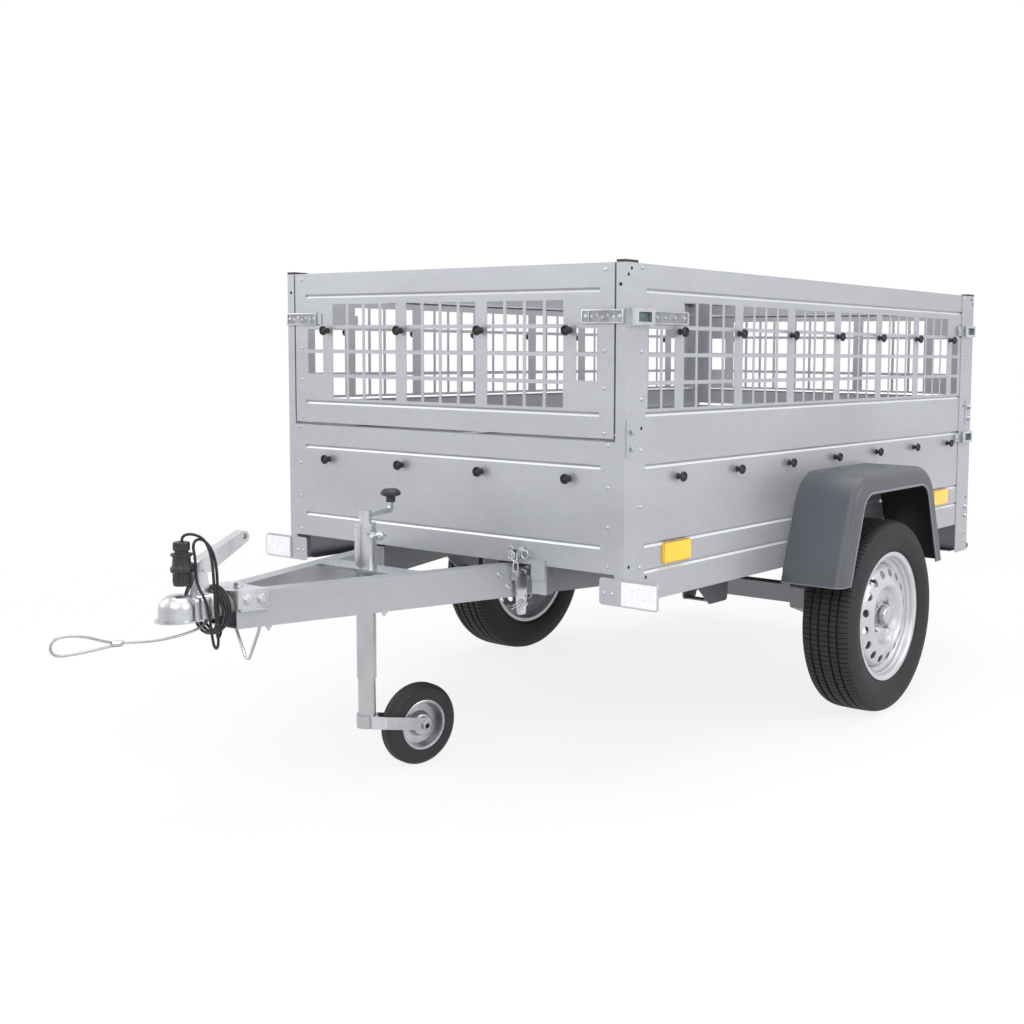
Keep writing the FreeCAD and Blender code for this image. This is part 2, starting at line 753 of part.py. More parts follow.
def make_mudguards():
    foot = "guard_foot_half"
    head = "guard_head_half"
    low = "guard_bottom"
    for name, side in SIDES:
        body = new_body(f"mudguard_{name}")
        shell = [(f"-{foot}", low), (foot, low), (head, "guard_top", "guard_corner"),
                 (f"-{head}", "guard_top", "guard_corner")]
        x0, x1 = sided(side, SIDE_FACE, "guard_outer")
        pad = prism(body, "YZ", x0, x1, shell)
        outer = side * number("guard_outer")
        bottom = number("guard_bottom")
        soften(body, pad, "guard_edge", lambda edge: abs(edge.BoundBox.XMin - outer) < 0.01
               and abs(edge.BoundBox.XMax - outer) < 0.01 and edge.BoundBox.ZMax > bottom + 1)
        wall = "guard_wall"
        hollow = [(f"-({foot} - {wall} * 1.06)", f"{low} - 1"), (f"{foot} - {wall} * 1.06", f"{low} - 1"),
                  (f"{head} - {wall} * 1.06", f"guard_top - {wall}", f"guard_corner - {wall}"),
                  (f"-({head} - {wall} * 1.06)", f"guard_top - {wall}", f"guard_corner - {wall}")]
        x0, x1 = sided(side, f"{SIDE_FACE} - 1", f"guard_outer - {wall}")
        prism(body, "YZ", x0, x1, hollow, cut=True)
        arch = [("-guard_arch_foot_half", f"{low} - 1"), ("guard_arch_foot_half", f"{low} - 1"),
                ("guard_arch_head_half", "guard_arch_top", "guard_arch_corner"),
                ("-guard_arch_head_half", "guard_arch_top", "guard_arch_corner")]
        x0, x1 = sided(side, f"guard_outer - {wall} - 2", "guard_outer + 2")
        prism(body, "YZ", x0, x1, arch, cut=True)


# Axle and wheels


def make_axle_beam():
    body = new_body("axle_beam")
    middle = "-beam_ahead"
    half = "beam_size / 2"
    outer = block(f"{middle} - {half}", f"{middle} + {half}", f"beam_height - {half}", f"beam_height + {half}")
    inner = block(f"{middle} - {half} + beam_wall", f"{middle} + {half} - beam_wall",
                  f"beam_height - {half} + beam_wall", f"beam_height + {half} - beam_wall")
    prism(body, "YZ", "-beam_half", "beam_half", outer, inner)
    bracket = [block("beam_half - axle_bracket_width", "beam_half", f"{middle} - axle_bracket_length / 2",
                     f"{middle} + axle_bracket_length / 2"),
               block("-beam_half", "-(beam_half - axle_bracket_width)", f"{middle} - axle_bracket_length / 2",
                     f"{middle} + axle_bracket_length / 2")]
    prism(body, "XY", f"beam_height + {half}", "side_bottom + sheet", *bracket)


def make_swing_arms():
    """A trailing arm at each end of the beam, with the stub that its wheel turns on."""
    body = new_body("swing_arms")
    front = "-(beam_ahead + beam_size / 2 + 5)"
    top = "beam_height + beam_size / 2 + 5"
    low = "beam_height - beam_size / 2 - 12"
    arm = [(front, low, "12"), (front, top, "12"), ("-beam_ahead + 45", top, "20"),
           ("stub_radius + 12", "wheel_radius + 22", "10"), ("stub_radius + 12", "wheel_radius - 26", "12"),
           ("-stub_radius - 10", "wheel_radius - 26", "12")]
    for side in (1, -1):
        x0, x1 = sided(side, "beam_half", "beam_half + arm_end_thick")
        prism(body, "YZ", x0, x1, arm)
        x0, x1 = sided(side, "beam_half + arm_end_thick - 1", "track_half + hub_bore_depth - 2")
        prism(body, "YZ", x0, x1, ("0", "wheel_radius", "stub_radius"))


def wheel_body(label, side):
    """A body at the wheel's centre, whose X points away from the trailer."""
    return new_body(label, x=f"{side} * track_half", z="wheel_radius", turn="0" if side > 0 else "180")


def make_tyre(label, side):
    body = wheel_body(label, side)
    half = "tyre_half"
    bead = "(bead_radius + bead_gap)"
    seat = "(rim_half - rim_wall - bead_gap)"
    crown = "(wheel_radius - tyre_wall)"
    outer = [(f"-{seat}", bead), (f"-{seat}", f"{bead} + 13"), (f"-{half}", "bulge_radius", "45"),
             ("-(tread_half + 12)", "shoulder_radius - 4", "14"), ("-tread_half + 12", "wheel_radius"),
             ("tread_half - 12", "wheel_radius"), ("tread_half + 12", "shoulder_radius - 4", "14"),
             (half, "bulge_radius", "45"), (seat, f"{bead} + 13"), (seat, bead)]
    inner = [(f"{seat} - 14", bead), (f"{seat} - 10", f"{bead} + 16"), (f"{half} - tyre_wall", "bulge_radius"),
             ("tread_half", crown), ("-tread_half", crown), (f"-({half} - tyre_wall)", "bulge_radius"),
             (f"-({seat} - 10)", f"{bead} + 16"), (f"-({seat} - 14)", bead)]
    turned(body, "XY", "H", outer + inner)


def make_rim(label, side):
    body = wheel_body(label, side)
    wall = "rim_wall"
    half = "rim_half"
    flange = "flange_radius"
    bead = "bead_radius"
    well = "well_radius"
    barrel = [(f"-{half}", flange), (f"-({half} - {wall})", flange), (f"-({half} - {wall})", bead),
              (f"-({half} - 28)", f"{bead} - 1.5"), (f"-({half} - 38)", well), (f"{half} - 44", well),
              (f"{half} - 32", f"{bead} - 1.5"), (f"{half} - {wall}", bead), (f"{half} - {wall}", flange),
              (half, flange), (half, f"{bead} - {wall}"), (f"{half} - 31", f"{bead} - {wall} - 1.5"),
              (f"{half} - 43", f"{well} - {wall}"), (f"-({half} - 37)", f"{well} - {wall}"),
              (f"-({half} - 27)", f"{bead} - {wall} - 1.5"), (f"-{half}", f"{bead} - {wall}")]
    turned(body, "XY", "H", barrel)
    edge = f"{well} - {wall} + 1"
    pad = "(pad_offset + rim_wall)"
    crest = f"({pad} + crest_rise)"
    bore = "hub_nose_radius + 1"
    outside = [("disc_edge", edge), ("vent_offset", "vent_ring_radius"), (f"{crest} - 2", "crest_radius + 8"),
               (crest, "crest_radius"), (f"{crest} - 6", "crest_radius - 8"), (pad, "pad_radius - 2"), (pad, bore)]
    inside = [("pad_offset", bore), ("pad_offset", "pad_radius"), (f"{crest} - {wall} - 6", "crest_radius - 6"),
              (f"{crest} - {wall}", "crest_radius + 1"), (f"{crest} - {wall} - 2", "crest_radius + 7"),
              ("vent_offset - 3.5", "vent_ring_radius - 1.5"), (f"disc_edge - {wall}", edge)]
    turned(body, "XY", "H", outside + inside)
    vent = prism(body, "YZ", "disc_edge - 5", crest, ("vent_ring_radius", "0", "vent_radius"), cut=True)
    ring = body.newObject("PartDesign::PolarPattern", f"{label}_vents")
    ring.Originals = [vent]
    ring.Axis = (origin_item(body, "X_Axis"), [""])
    ring.Angle = 360.0
    bind(ring, "Occurrences", "vent_count")
    body.Tip = ring


def make_hub(label, side):
    body = wheel_body(label, side)
    pad = "pad_offset"
    bore = "(stub_radius + stub_gap)"
    profile = [("-hub_barrel_length", bore), ("-hub_barrel_length", "hub_barrel_radius"),
               (f"{pad} - hub_flange_thick", "hub_barrel_radius"), (f"{pad} - hub_flange_thick", "hub_flange_radius"),
               (pad, "hub_flange_radius"), (pad, "hub_nose_radius"),
               (f"{pad} + hub_nose_length", "hub_nose_radius", "6"), (f"{pad} + hub_nose_length", "0"),
               ("hub_bore_depth", "0"), ("hub_bore_depth", bore)]
    turned(body, "XY", "H", profile)


def make_wheels():
    for name, side in SIDES:
        make_tyre(f"tyre_{name}", side)
        make_rim(f"rim_{name}", side)
        make_hub(f"hub_{name}", side)


# Drawbar


def bar_outline(side, front, rear, half):
    """Plan of a drawbar arm, cut square to the trailer at both ends."""
    outline = []
    for ahead, way in ((front, "-"), (front, "+"), (rear, "+"), (rear, "-")):
        outline.append((f"{side} * ({bar_centre(ahead)} {way} {half})", f"-({ahead})"))
    return outline


def make_drawbar_arms():
    low = "(bar_top - bar_depth)"
    rear = "(pivot_ahead - bar_tail)"
    wall = f"(bar_wall / cos({BAR_ANGLE}))"
    for name, side in SIDES:
        body = new_body(f"drawbar_arm_{name}")
        prism(body, "XY", low, "bar_top", bar_outline(side, "bar_front", rear, BAR_HALF))
        hollow = bar_outline(side, "(bar_front + 2)", f"({rear} - 2)", f"({BAR_HALF} - {wall})")
        prism(body, "XY", f"{low} + bar_wall", "bar_top - bar_wall", hollow, cut=True)
        x0, x1 = sided(side, f"bar_rear_half - 2 * {BAR_HALF}", f"bar_rear_half + 2 * {BAR_HALF}")
        prism(body, "YZ", x0, x1, ("-pivot_ahead", BAR_MIDDLE, "bush_radius + pivot_gap"), cut=True)
        tail = [(f"-{rear} - 12", "bar_top + 1"), (f"-{rear} + 1", "bar_top + 1"), (f"-{rear} + 1", "bar_top - 13")]
        prism(body, "YZ", x0, x1, tail, cut=True)
        if side < 0:
            spot = (f"-({bar_centre('gland_ahead')})", "-gland_ahead", "gland_radius + pivot_gap")
            prism(body, "XY", f"{low} - 1", f"{low} + bar_wall + 1", spot, cut=True)


def make_pivot_bushes():
    """A bush across the end of each arm, which turns on the pivot bolt."""
    body = new_body("pivot_bushes")
    spot = ("-pivot_ahead", BAR_MIDDLE)
    for side in (1, -1):
        x0, x1 = sided(side, "bar_rear_half - cheek_half_gap + 0.3", "bar_rear_half + cheek_half_gap - 0.3")
        prism(body, "YZ", x0, x1, (*spot, "bush_radius"), (*spot, "pivot_radius + pivot_gap"))


def make_cable_gland():
    """A rubber grommet in the underside of the right arm, where the cable goes in."""
    body = new_body("cable_gland", x=f"-({bar_centre('gland_ahead')})", y="-gland_ahead", z="bar_top - bar_depth")
    prism(body, "XY", "-4", "0", ("0", "0", "gland_radius + 4"))
    prism(body, "XY", "-1", "20", ("0", "0", "gland_radius"))


def make_hinge_brackets():
    """A bracket under the floor on each side, with the pivot bolt of the drawbar through it."""
    body = new_body("hinge_brackets")
    top = "front_bottom + sheet"
    low = "cheek_bottom"
    end = "-(pivot_ahead - cheek_rear)"
    for side in (1, -1):
        spots = (("bar_rear_half + cheek_half_gap", "bar_rear_half + cheek_half_gap + cheek_thick", "cheek_front",
                  "cheek_foot_half"),
                 ("bar_rear_half - cheek_half_gap - cheek_thick", "bar_rear_half - cheek_half_gap",
                  "inner_cheek_front", "inner_cheek_foot"))
        for inner, outer, front, foot in spots:
            start = f"-(pivot_ahead + {front})"
            cheek = [(start, top), (start, f"{top} - 60"), (f"-(pivot_ahead + {foot})", low, "10"),
                     (f"-(pivot_ahead - {foot}) + 6", low, "10"), (end, f"{low} + 60"), (end, top)]
            x0, x1 = sided(side, inner, outer)
            prism(body, "YZ", x0, x1, cheek)
        x0, x1 = sided(side, "bar_rear_half - cheek_half_gap - 1", "bar_rear_half + cheek_half_gap + 1")
        web = block("-(pivot_ahead + 14)", "-(pivot_ahead - 14)", low, f"{low} + cheek_thick")
        prism(body, "YZ", x0, x1, web)
        x0, x1 = sided(side, "bar_rear_half - cheek_half_gap - cheek_thick - 10",
                       "bar_rear_half + cheek_half_gap + cheek_thick + 10")
        prism(body, "YZ", x0, x1, ("-pivot_ahead", BAR_MIDDLE, "pivot_radius"))


def make_jockey_mount():
    """A plate between the arms, with the sleeve and clamp that hold the jockey tube."""
    body = new_body("jockey_mount")
    front = "(jockey_ahead + brace_length / 2)"
    rear = "(jockey_ahead - brace_length / 2)"
    near = f"{bar_centre(front)} - {BAR_HALF}"
    far = f"{bar_centre(rear)} - {BAR_HALF}"
    plate = [(f"-({near})", f"-{front}"), (near, f"-{front}"), (far, f"-{rear}"), (f"-({far})", f"-{rear}")]
    bore = "tube_radius + sleeve_gap"
    hole = ("0", "-jockey_ahead", bore)
    prism(body, "XY", "bar_top - brace_thick", "bar_top", plate, hole)
    sleeve = ("0", "-jockey_ahead", f"{bore} + sleeve_wall")
    prism(body, "XY", "bar_top - 1", "sleeve_top", sleeve, hole)
    prism(body, "YZ", f"{bore} + sleeve_wall / 2", f"{bore} + 26", ("-jockey_ahead", "clamp_height", "6"))
    prism(body, "XZ", "-jockey_ahead - 22", "-jockey_ahead + 22", (f"{bore} + 22", "clamp_height", "4"))


def make_coupling():
    body = new_body("coupling_head", y="-ball_ahead", z="ball_height")
    dome = [("0", "-lip_drop - lip_thick"), ("lip_radius", "-lip_drop - lip_thick"), ("lip_radius", "-lip_drop"),
            ("head_radius", "-lip_drop"), ("head_radius", "head_rise", "30"), ("0", "head_rise")]
    turned(body, "XZ", "V", dome)
    neck_low = "-lip_drop - lip_thick"
    neck_high = "bar_top + cheek_plate - ball_height"
    neck = [("-neck_half", neck_low), ("neck_half", neck_low), ("neck_half", neck_high, "9"),
            ("-neck_half", neck_high, "9")]
    prism(body, "XZ", "head_radius * 0.5", "ball_ahead - bar_front", neck)
    front_neck = [("-front_neck_half", neck_low), ("front_neck_half", neck_low),
                  ("front_neck_half", neck_high, "14"), ("-front_neck_half", neck_high, "14")]
    prism(body, "XZ", "head_radius * 0.5", "front_neck_end", front_neck)
    prism(body, "XY", neck_low, "-lip_drop", block("-brim_half", "brim_half", "0", "front_neck_end"))
    rear = "(ball_ahead - plate_rear)"
    start = "(ball_ahead - bar_front)"
    near = f"({bar_centre('bar_front')} + {BAR_HALF})"
    far = f"({bar_centre('plate_rear')} + {BAR_HALF})"
    plate = [("-neck_half", f"{start} - 12"), ("neck_half", f"{start} - 12"),
             (f"{near} + cheek_plate", start), (f"{far} + cheek_plate", rear),
             (f"-({far} + cheek_plate)", rear), (f"-({near} + cheek_plate)", start)]
    prism(body, "XY", "plate_low - ball_height", neck_high, plate)
    edge = "cheek_plate + plate_brim"
    brim = [(f"-({near} + {edge})", start), (f"{near} + {edge}", start), (f"{far} + {edge}", rear),
            (f"-({far} + {edge})", rear)]
    prism(body, "XY", "plate_low - ball_height", "plate_low - ball_height + cheek_plate", brim)
    past = f"({bar_centre('(plate_rear - 1)')} + {BAR_HALF})"
    arms = [(f"-{near}", start), (near, start), (past, f"{rear} + 1"), (f"-{past}", f"{rear} + 1")]
    prism(body, "XY", "plate_low - ball_height - 1", "bar_top - ball_height", arms, cut=True)
    link = [("18", "bar_top + cheek_plate - ball_height - 8"), ("74", "bar_top + cheek_plate - ball_height - 8"),
            ("66", "82", "8"), ("46", "92", "8"), ("34", "60")]
    for side in (1, -1):
        x0, x1 = sided(side, "link_half - link_thick", "link_half")
        prism(body, "YZ", x0, x1, link)
    prism(body, "YZ", "-link_half - 1", "link_half + 1", ("56", "80", "4 + pin_gap"), cut=True)
    socket = [("0", "-lip_drop - lip_thick - 1"), ("socket_radius", "-lip_drop - lip_thick - 1"),
              ("socket_radius", "socket_radius", "socket_radius * 0.95"), ("0", "socket_radius")]
    turned(body, "XZ", "V", socket, cut=True)


def make_coupling_lever():
    """The release lever, a pressed channel over the two links."""
    body = new_body("coupling_lever", y="-ball_ahead", z="ball_height")
    shape = [("38", "78", "8"), ("44", "100", "10"), ("165.6", "154", "11"), ("176", "132.4", "11"),
             ("72", "73", "6")]
    half = "link_half + lever_gap + lever_wall"
    prism(body, "YZ", f"-({half})", half, shape)
    hollow = [("28", "56"), ("36", "94"), ("48", "97"), ("148", "141.5"), ("150", "118"), ("150", "100")]
    inner = "link_half + lever_gap"
    prism(body, "YZ", f"-({inner})", inner, hollow, cut=True)
    prism(body, "YZ", f"-({half} + 1)", f"{half} + 1", ("161", "139", "lever_hole_radius"), cut=True)
    prism(body, "YZ", f"-({half} + 3)", f"{half} + 3", ("56", "80", "4"))


def make_tilt_latch():
    """Lever and pivot block of the tilt latch, outside the left arm just behind the front panel's face."""
    spot = "tilt_latch_ahead"
    body = new_body("tilt_latch", x=bar_centre(spot), y=f"-{spot}", z=BAR_MIDDLE, turn=f"-{BAR_ANGLE}")
    face = "bar_width / 2"
    prism(body, "YZ", face, f"{face} + 8", block("-tilt_block_half", "tilt_block_half", "2", "34"))
    lever = [("-17", "14", "4"), ("17", "14", "4"), ("11", "-82", "6"), ("-9", "-82", "6")]
    prism(body, "YZ", f"{face} + 7", f"{face} + 15", lever)
    bosses = [(f"{sign}tilt_boss_apart", "20", "tilt_boss_radius") for sign in ("-", "")]
    prism(body, "YZ", face, f"{face} + 22", *bosses)
    prism(body, "YZ", f"{face} + 7", f"{face} + 18", block("-tilt_boss_apart", "tilt_boss_apart", "16", "24"))


def make_latch_catch():
    """A channel that hangs from the front panel's foot, and an eye on the panel above the latch."""
    body = new_body("latch_catch")
    face = "-box_front"
    inner = f"({bar_centre('box_front')} + {BAR_HALF} + catch_apart)"
    outer = f"({inner} + catch_width)"
    eye_x = f"({inner} - eye_apart)"
    eye_z = "front_bottom + eye_rise"
    wall = "bracket_thick"
    deep = f"{face} + catch_depth"
    channel = [(inner, face), (outer, face), (outer, deep), (f"{outer} - {wall}", deep),
               (f"{outer} - {wall}", f"{face} + {wall}"), (f"{inner} + {wall}", f"{face} + {wall}"),
               (f"{inner} + {wall}", deep), (inner, deep)]
    prism(body, "XY", "catch_low", "front_bottom", channel)
    plate = [(f"{eye_x} - eye_radius - 2", "front_bottom"), (outer, "front_bottom"),
             (outer, "front_bottom + 12"), (f"{eye_x} + eye_radius + 2", "front_bottom + 12"),
             (f"{eye_x} + eye_radius + 2", "front_bottom + 42"), (f"{eye_x} - eye_radius - 2", "front_bottom + 42")]
    prism(body, "XZ", f"{face} - catch_plate", face, plate)
    prism(body, "XZ", f"{face} - 16", f"{face} - catch_plate + 1", (eye_x, eye_z, "eye_radius"),
          (eye_x, eye_z, "eye_hole_radius"))
    prism(body, "XZ", f"{face} - catch_plate", f"{face} + {wall}", block(inner, outer, "bar_top - 30", "front_bottom"))


# Jockey wheel


def make_jockey_tube():
    body = new_body("jockey_outer_tube", y="-jockey_ahead")
    outer = ("0", "0", "tube_radius")
    inner = ("0", "0", "tube_radius - tube_wall")
    prism(body, "XY", "tube_low", "tube_high", outer, inner)
    prism(body, "XY", "tube_high - 6", "tube_high", ("0", "0", "tube_radius + 2"))


def make_jockey_stem():
    body = new_body("jockey_inner_tube", y="-jockey_ahead")
    outer = "(tube_radius - tube_wall - stem_gap)"
    prism(body, "XY", "stem_low", "stem_high", ("0", "0", outer), ("0", "0", f"{outer} - stem_wall"))


def jockey_body(label, y="0", z="0"):
    """A body turned with the jockey fork, whose Y points along the fork to the wheel."""
    turn = "-jockey_turn"
    reach_x = f"({y}) * sin(jockey_turn)"
    reach_y = f"({y}) * cos(jockey_turn)"
    return new_body(label, x=reach_x, y=f"-jockey_ahead + {reach_y}", z=z, turn=turn)


def make_jockey_fork():
    """Collar, two side plates and the axle that the jockey wheel turns on."""
    body = jockey_body("jockey_fork")
    tube = "(tube_radius - tube_wall - stem_gap)"
    bore = f"{tube} + collar_gap"
    inner = "(jockey_half + fork_gap)"
    outer = f"({inner} + fork_thick)"
    low = "(stem_low + 2)"
    high = f"({low} + collar_height)"
    prism(body, "XY", low, high, ("0", "0", f"{bore} + collar_wall"))
    for side in (1, -1):
        x0, x1 = sided(side, "18", f"{inner} + 1")
        prism(body, "XY", low, high, block(x0, x1, "-8", "12"))
        x0, x1 = sided(side, inner, outer)
        plate = [("-8", low), ("-8", high), ("jockey_trail + 17", "jockey_radius + 15", "14"),
                 ("jockey_trail + 15", "jockey_radius - 16", "14")]
        prism(body, "YZ", x0, x1, plate)
    prism(body, "XY", f"{low} - 1", f"{high} + 1", ("0", "0", bore), cut=True)
    spot = ("jockey_trail", "jockey_radius", "jockey_axle_radius")
    prism(body, "YZ", f"-({outer} + 5)", f"{outer} + 5", spot)


def make_jockey_wheel():
    body = jockey_body("jockey_tyre", y="jockey_trail", z="jockey_radius")
    half = "jockey_half"
    rim = "(jockey_rim_radius + bead_gap)"
    profile = [(f"-{half}", rim), (f"-{half}", "jockey_radius - 12", "8"), (f"-{half} + 12", "jockey_radius", "10"),
               (f"{half} - 12", "jockey_radius", "10"), (half, "jockey_radius - 12", "8"), (half, rim)]
    turned(body, "XY", "H", profile)
    body = jockey_body("jockey_rim", y="jockey_trail", z="jockey_radius")
    wall = "jockey_rim_wall"
    bore = "jockey_axle_radius + jockey_axle_gap"
    shell = [(f"-{half} + 1", "jockey_rim_radius"), (f"{half} - 1", "jockey_rim_radius"),
             (f"{half} - 1", f"jockey_rim_radius - {wall}"), (wall, f"jockey_rim_radius - {wall} - 6"),
             (wall, "32"), (f"{half} - 2", "26", "6"), (f"{half} - 2", bore), (f"-{half} + 2", bore),
             (f"-{half} + 2", "26", "6"), (f"-{wall}", "32"), (f"-{wall}", f"jockey_rim_radius - {wall} - 6"),
             (f"-{half} + 1", f"jockey_rim_radius - {wall}")]
    turned(body, "XY", "H", shell)


# Rods, cable and rope


def rounded_path(points, share=0.45):
    """Straight runs joined by tangent arcs, each as large as its two runs allow."""
    spots = [Vector(*point) for point in points]
    edges = []
    radii = []
    start = spots[0]
    for before, corner, after in zip(spots, spots[1:], spots[2:]):
        back = before - corner
        forth = after - corner
        shorter = min(back.Length, forth.Length)
        turn = math.pi - back.getAngle(forth)
        radius = share * shorter / math.tan(turn / 2)
        reach = share * shorter
        first = corner + back.normalize() * reach
        last = corner + forth.normalize() * reach
        middle = (back + forth).normalize()
        centre = corner + middle * math.hypot(radius, reach)
        edges.append(Part.LineSegment(start, first).toShape())
        edges.append(Part.Arc(first, centre - middle * radius, last).toShape())
        radii.append(radius)
        start = last
    edges.append(Part.LineSegment(start, spots[-1]).toShape())
    return Part.Wire(edges), radii


def rod(points, diameter):
    """A round bar along a rounded path, with its smallest radius and how true its volume is."""
    path, radii = rounded_path(points)
    start = Vector(*points[0])
    section = Part.Wire(Part.makeCircle(diameter / 2, start, Vector(*points[1]) - start))
    shape = path.makePipeShell([section], True, True)
    share = shape.Volume / (math.pi * diameter ** 2 / 4 * path.Length)
    return shape, path.Length, radii, share


def loose_piece(label, shapes):
    """A sub-part made from shapes, drawn from the axle line."""
    feature = doc.addObject("Part::Feature", label)
    feature.Label = label
    feature.Shape = shapes[0] if len(shapes) == 1 else Part.makeCompound(shapes)
    feature.Placement = Placement(Vector(0, number("axle_back"), 0), Rotation())
    pieces.append(feature)
    return feature


def cord(label, points, diameter):
    """A free cord as a plain tube, with its radii and its volume printed."""
    shape, length, radii, share = rod(points, diameter)
    listed = " ".join(f"{radius:.0f}" for radius in radii)
    print(f"{label}: length {length:.1f}, volume share {share:.4f}, radii {listed}")
    loose_piece(label, [shape])


def make_cable_stay():
    """A bent wire under the drawbar that keeps the cable off the ground."""
    front = number("plate_rear") + 4
    foot = number("bar_top - bar_depth")
    half = number(bar_centre("plate_rear + 4"))
    points = [(-half, -front, foot), (-half + 4, -front, foot - 14), (-6, -front, foot - 79),
              (6, -front, foot - 79), (half - 4, -front, foot - 14), (half, -front, foot)]
    shape = rod(points, 7.0)[0]
    loose_piece("cable_stay", [shape])


def make_crank():
    """Crank head and arm on top of the jockey tube, and the mushroom knob."""
    body = new_body("jockey_crank", y="-jockey_ahead")
    top = "tube_high + crank_rise"
    prism(body, "XY", "tube_high", top, ("0", "0", "crank_radius"))
    arm = [("0", f"{top} - 8"), ("76", f"{top} - 1", "5"), ("76", f"{top} + 13"), ("86", f"{top} + 13"),
           ("86", f"{top} - 11", "12"), ("0", f"{top} - 18")]
    prism(body, "YZ", "-crank_rod / 2", "crank_rod / 2", arm)
    knob = new_body("crank_knob", y="-jockey_ahead + 81", z=f"{top} + 13")
    profile = [("0", "0"), ("11", "0"), ("11", "12", "3"), ("24", "17", "3"), ("24", "24", "5"), ("16", "32", "12"),
               ("0", "32")]
    turned(knob, "XZ", "V", profile)


# Lamps, reflectors and buffers


def make_lamp_bar():
    """A channel across the rear, between the feet of the rear posts, open to the front."""
    body = new_body("lamp_bar")
    reach = "box_half - post_width"
    low = "rear_post_bottom"
    high = "lamp_bar_top"
    start = "(box_rear - post_depth - lamp_bar_depth + 8)"
    end = "(box_rear - post_depth + 8)"
    wall = "member_wall"
    section = [(start, low), (end, low), (end, high), (start, high), (start, f"{high} - {wall}"),
               (f"{end} - {wall}", f"{high} - {wall}"), (f"{end} - {wall}", f"{low} + {wall}"),
               (start, f"{low} + {wall}")]
    prism(body, "YZ", f"-({reach})", reach, section)


def make_lamps():
    body = new_body("rear_lamps")
    face = "(box_rear - post_depth + 8)"
    low = "rear_post_bottom + 10"
    for side in (1, -1):
        x0, x1 = sided(side, "lamp_inner", "lamp_inner + lamp_width")
        prism(body, "XZ", face, f"{face} + lamp_depth - 8",
              [(x0, low, "12"), (x1, low, "12"), (x1, f"{low} + lamp_height", "12"),
               (x0, f"{low} + lamp_height", "12")])


def make_reflectors():
    body = new_body("side_reflectors")
    high = "reflector_low + reflector_height"
    for side in (1, -1):
        x0, x1 = sided(side, SIDE_FACE, f"{SIDE_FACE} + reflector_thick")
        for start in ("-front_reflector_start", "rear_reflector_start"):
            prism(body, "YZ", x0, x1,
                  block(start, f"{start} + reflector_length", "reflector_low", high, "reflector_corner"))
    body = new_body("reflector_brackets")
    face = "-box_front"
    for side in (1, -1):
        x0, x1 = sided(side, "bracket_inner", "bracket_outer")
        prism(body, "XZ", f"{face} - bracket_thick", face,
              block(x0, x1, "side_bottom", "bracket_top", "bracket_corner"))
    body = new_body("front_reflectors")
    for side in (1, -1):
        x0, x1 = sided(side, "white_inner", "bracket_outer")
        prism(body, "XZ", f"{face} - bracket_thick - white_thick", f"{face} - bracket_thick",
              block(x0, x1, "side_bottom + 2", "bracket_top - 2", "reflector_corner"))


def make_buffers():
    body = new_body("rear_buffers")
    middle = "box_half - post_width / 2"
    for side in ("", "-"):
        prism(body, "XZ", "box_rear", "box_rear + buffer_length",
              (f"{side}({middle})", "rear_post_bottom + buffer_radius + 1", "buffer_radius"))


# Cable, plug and rope


def make_plug():
    """A thirteen pin plug with its cap ring and clamp nut, standing upright."""
    body = new_body("lighting_plug", y="-plug_ahead", z="plug_low")
    profile = [("0", "0"), ("17", "0", "2"), ("18", "26"), ("23", "30"), ("23", "38"), ("19", "42"), ("18", "60"),
               ("22", "63"), ("22", "66"), ("14", "68"), ("14", "72"), ("17", "73"), ("17", "90", "3"), ("0", "91")]
    turned(body, "XZ", "V", profile)


def make_coil():
    """The outer shape of the cable's turns round the coupling's neck."""
    body = new_body("cable_coil", y="-coil_front", z="ball_height - 1")
    length = "coil_turns * cable_diameter"
    prism(body, "XZ", "0", length, ("0", "0", "coil_inner + coil_wall"), ("0", "0", "coil_inner"))


def make_cords():
    thick = number("cable_diameter")
    plug = -number("plug_ahead")
    top = number("plug_low")
    coil = number("coil_inner + coil_wall / 2")
    coil_y = -number("coil_front") + 11
    reach = math.hypot(coil, coil_y - plug)
    along = Vector(coil / reach, (coil_y - plug) / reach, 0)
    profile = [(0, 65), (1, 93), (25, 108), (54, 103), (76, 73), (85, 29), (reach - 0.4, -15), (reach, -54)]
    route = [Vector(0, plug, top + rise) + along * out for out, rise in profile]
    cord("plug_cable", route, thick)
    gland = Vector(-number(bar_centre("gland_ahead")), -number("gland_ahead"), number("bar_top - bar_depth"))
    toward = Vector(0.575, -0.818, 0)
    profile = [(0, 17), (0.3, -14), (26.7, -29), (53.3, -13.5), (61.5, 5)]
    route = [gland + Vector(0, 0, rise) + toward * out for out, rise in profile]
    cord("tail_cable", route, thick)
    rope = number("rope_diameter")
    cord("rope_lead", [(14, -1742, 459), (22, -1762, 444), (31, -1792, 436.5), (32, -1832, 431.5),
                       (22, -1870, 427.5), (8, -1908, 428), (2, -1946, 431.8)], rope)
    start = Vector(2, -1941, 431.4)
    end = Vector(2, -1966, 433.1)
    loose_piece("rope_ferrule", [Part.makeCylinder(6.5, (end - start).Length, start, end - start)])
    cord("rope_loop", [(2, -1961, 435.6), (2, -1986, 443), (1, -2014, 455), (-1, -2046, 463.5), (-3, -2081, 463.5),
                       (-4, -2091.4, 445.5), (-3, -2081, 427.5), (-1, -2046, 426.5), (1, -2014, 427),
                       (2, -1986, 428.5), (2, -1961, 430)], rope)


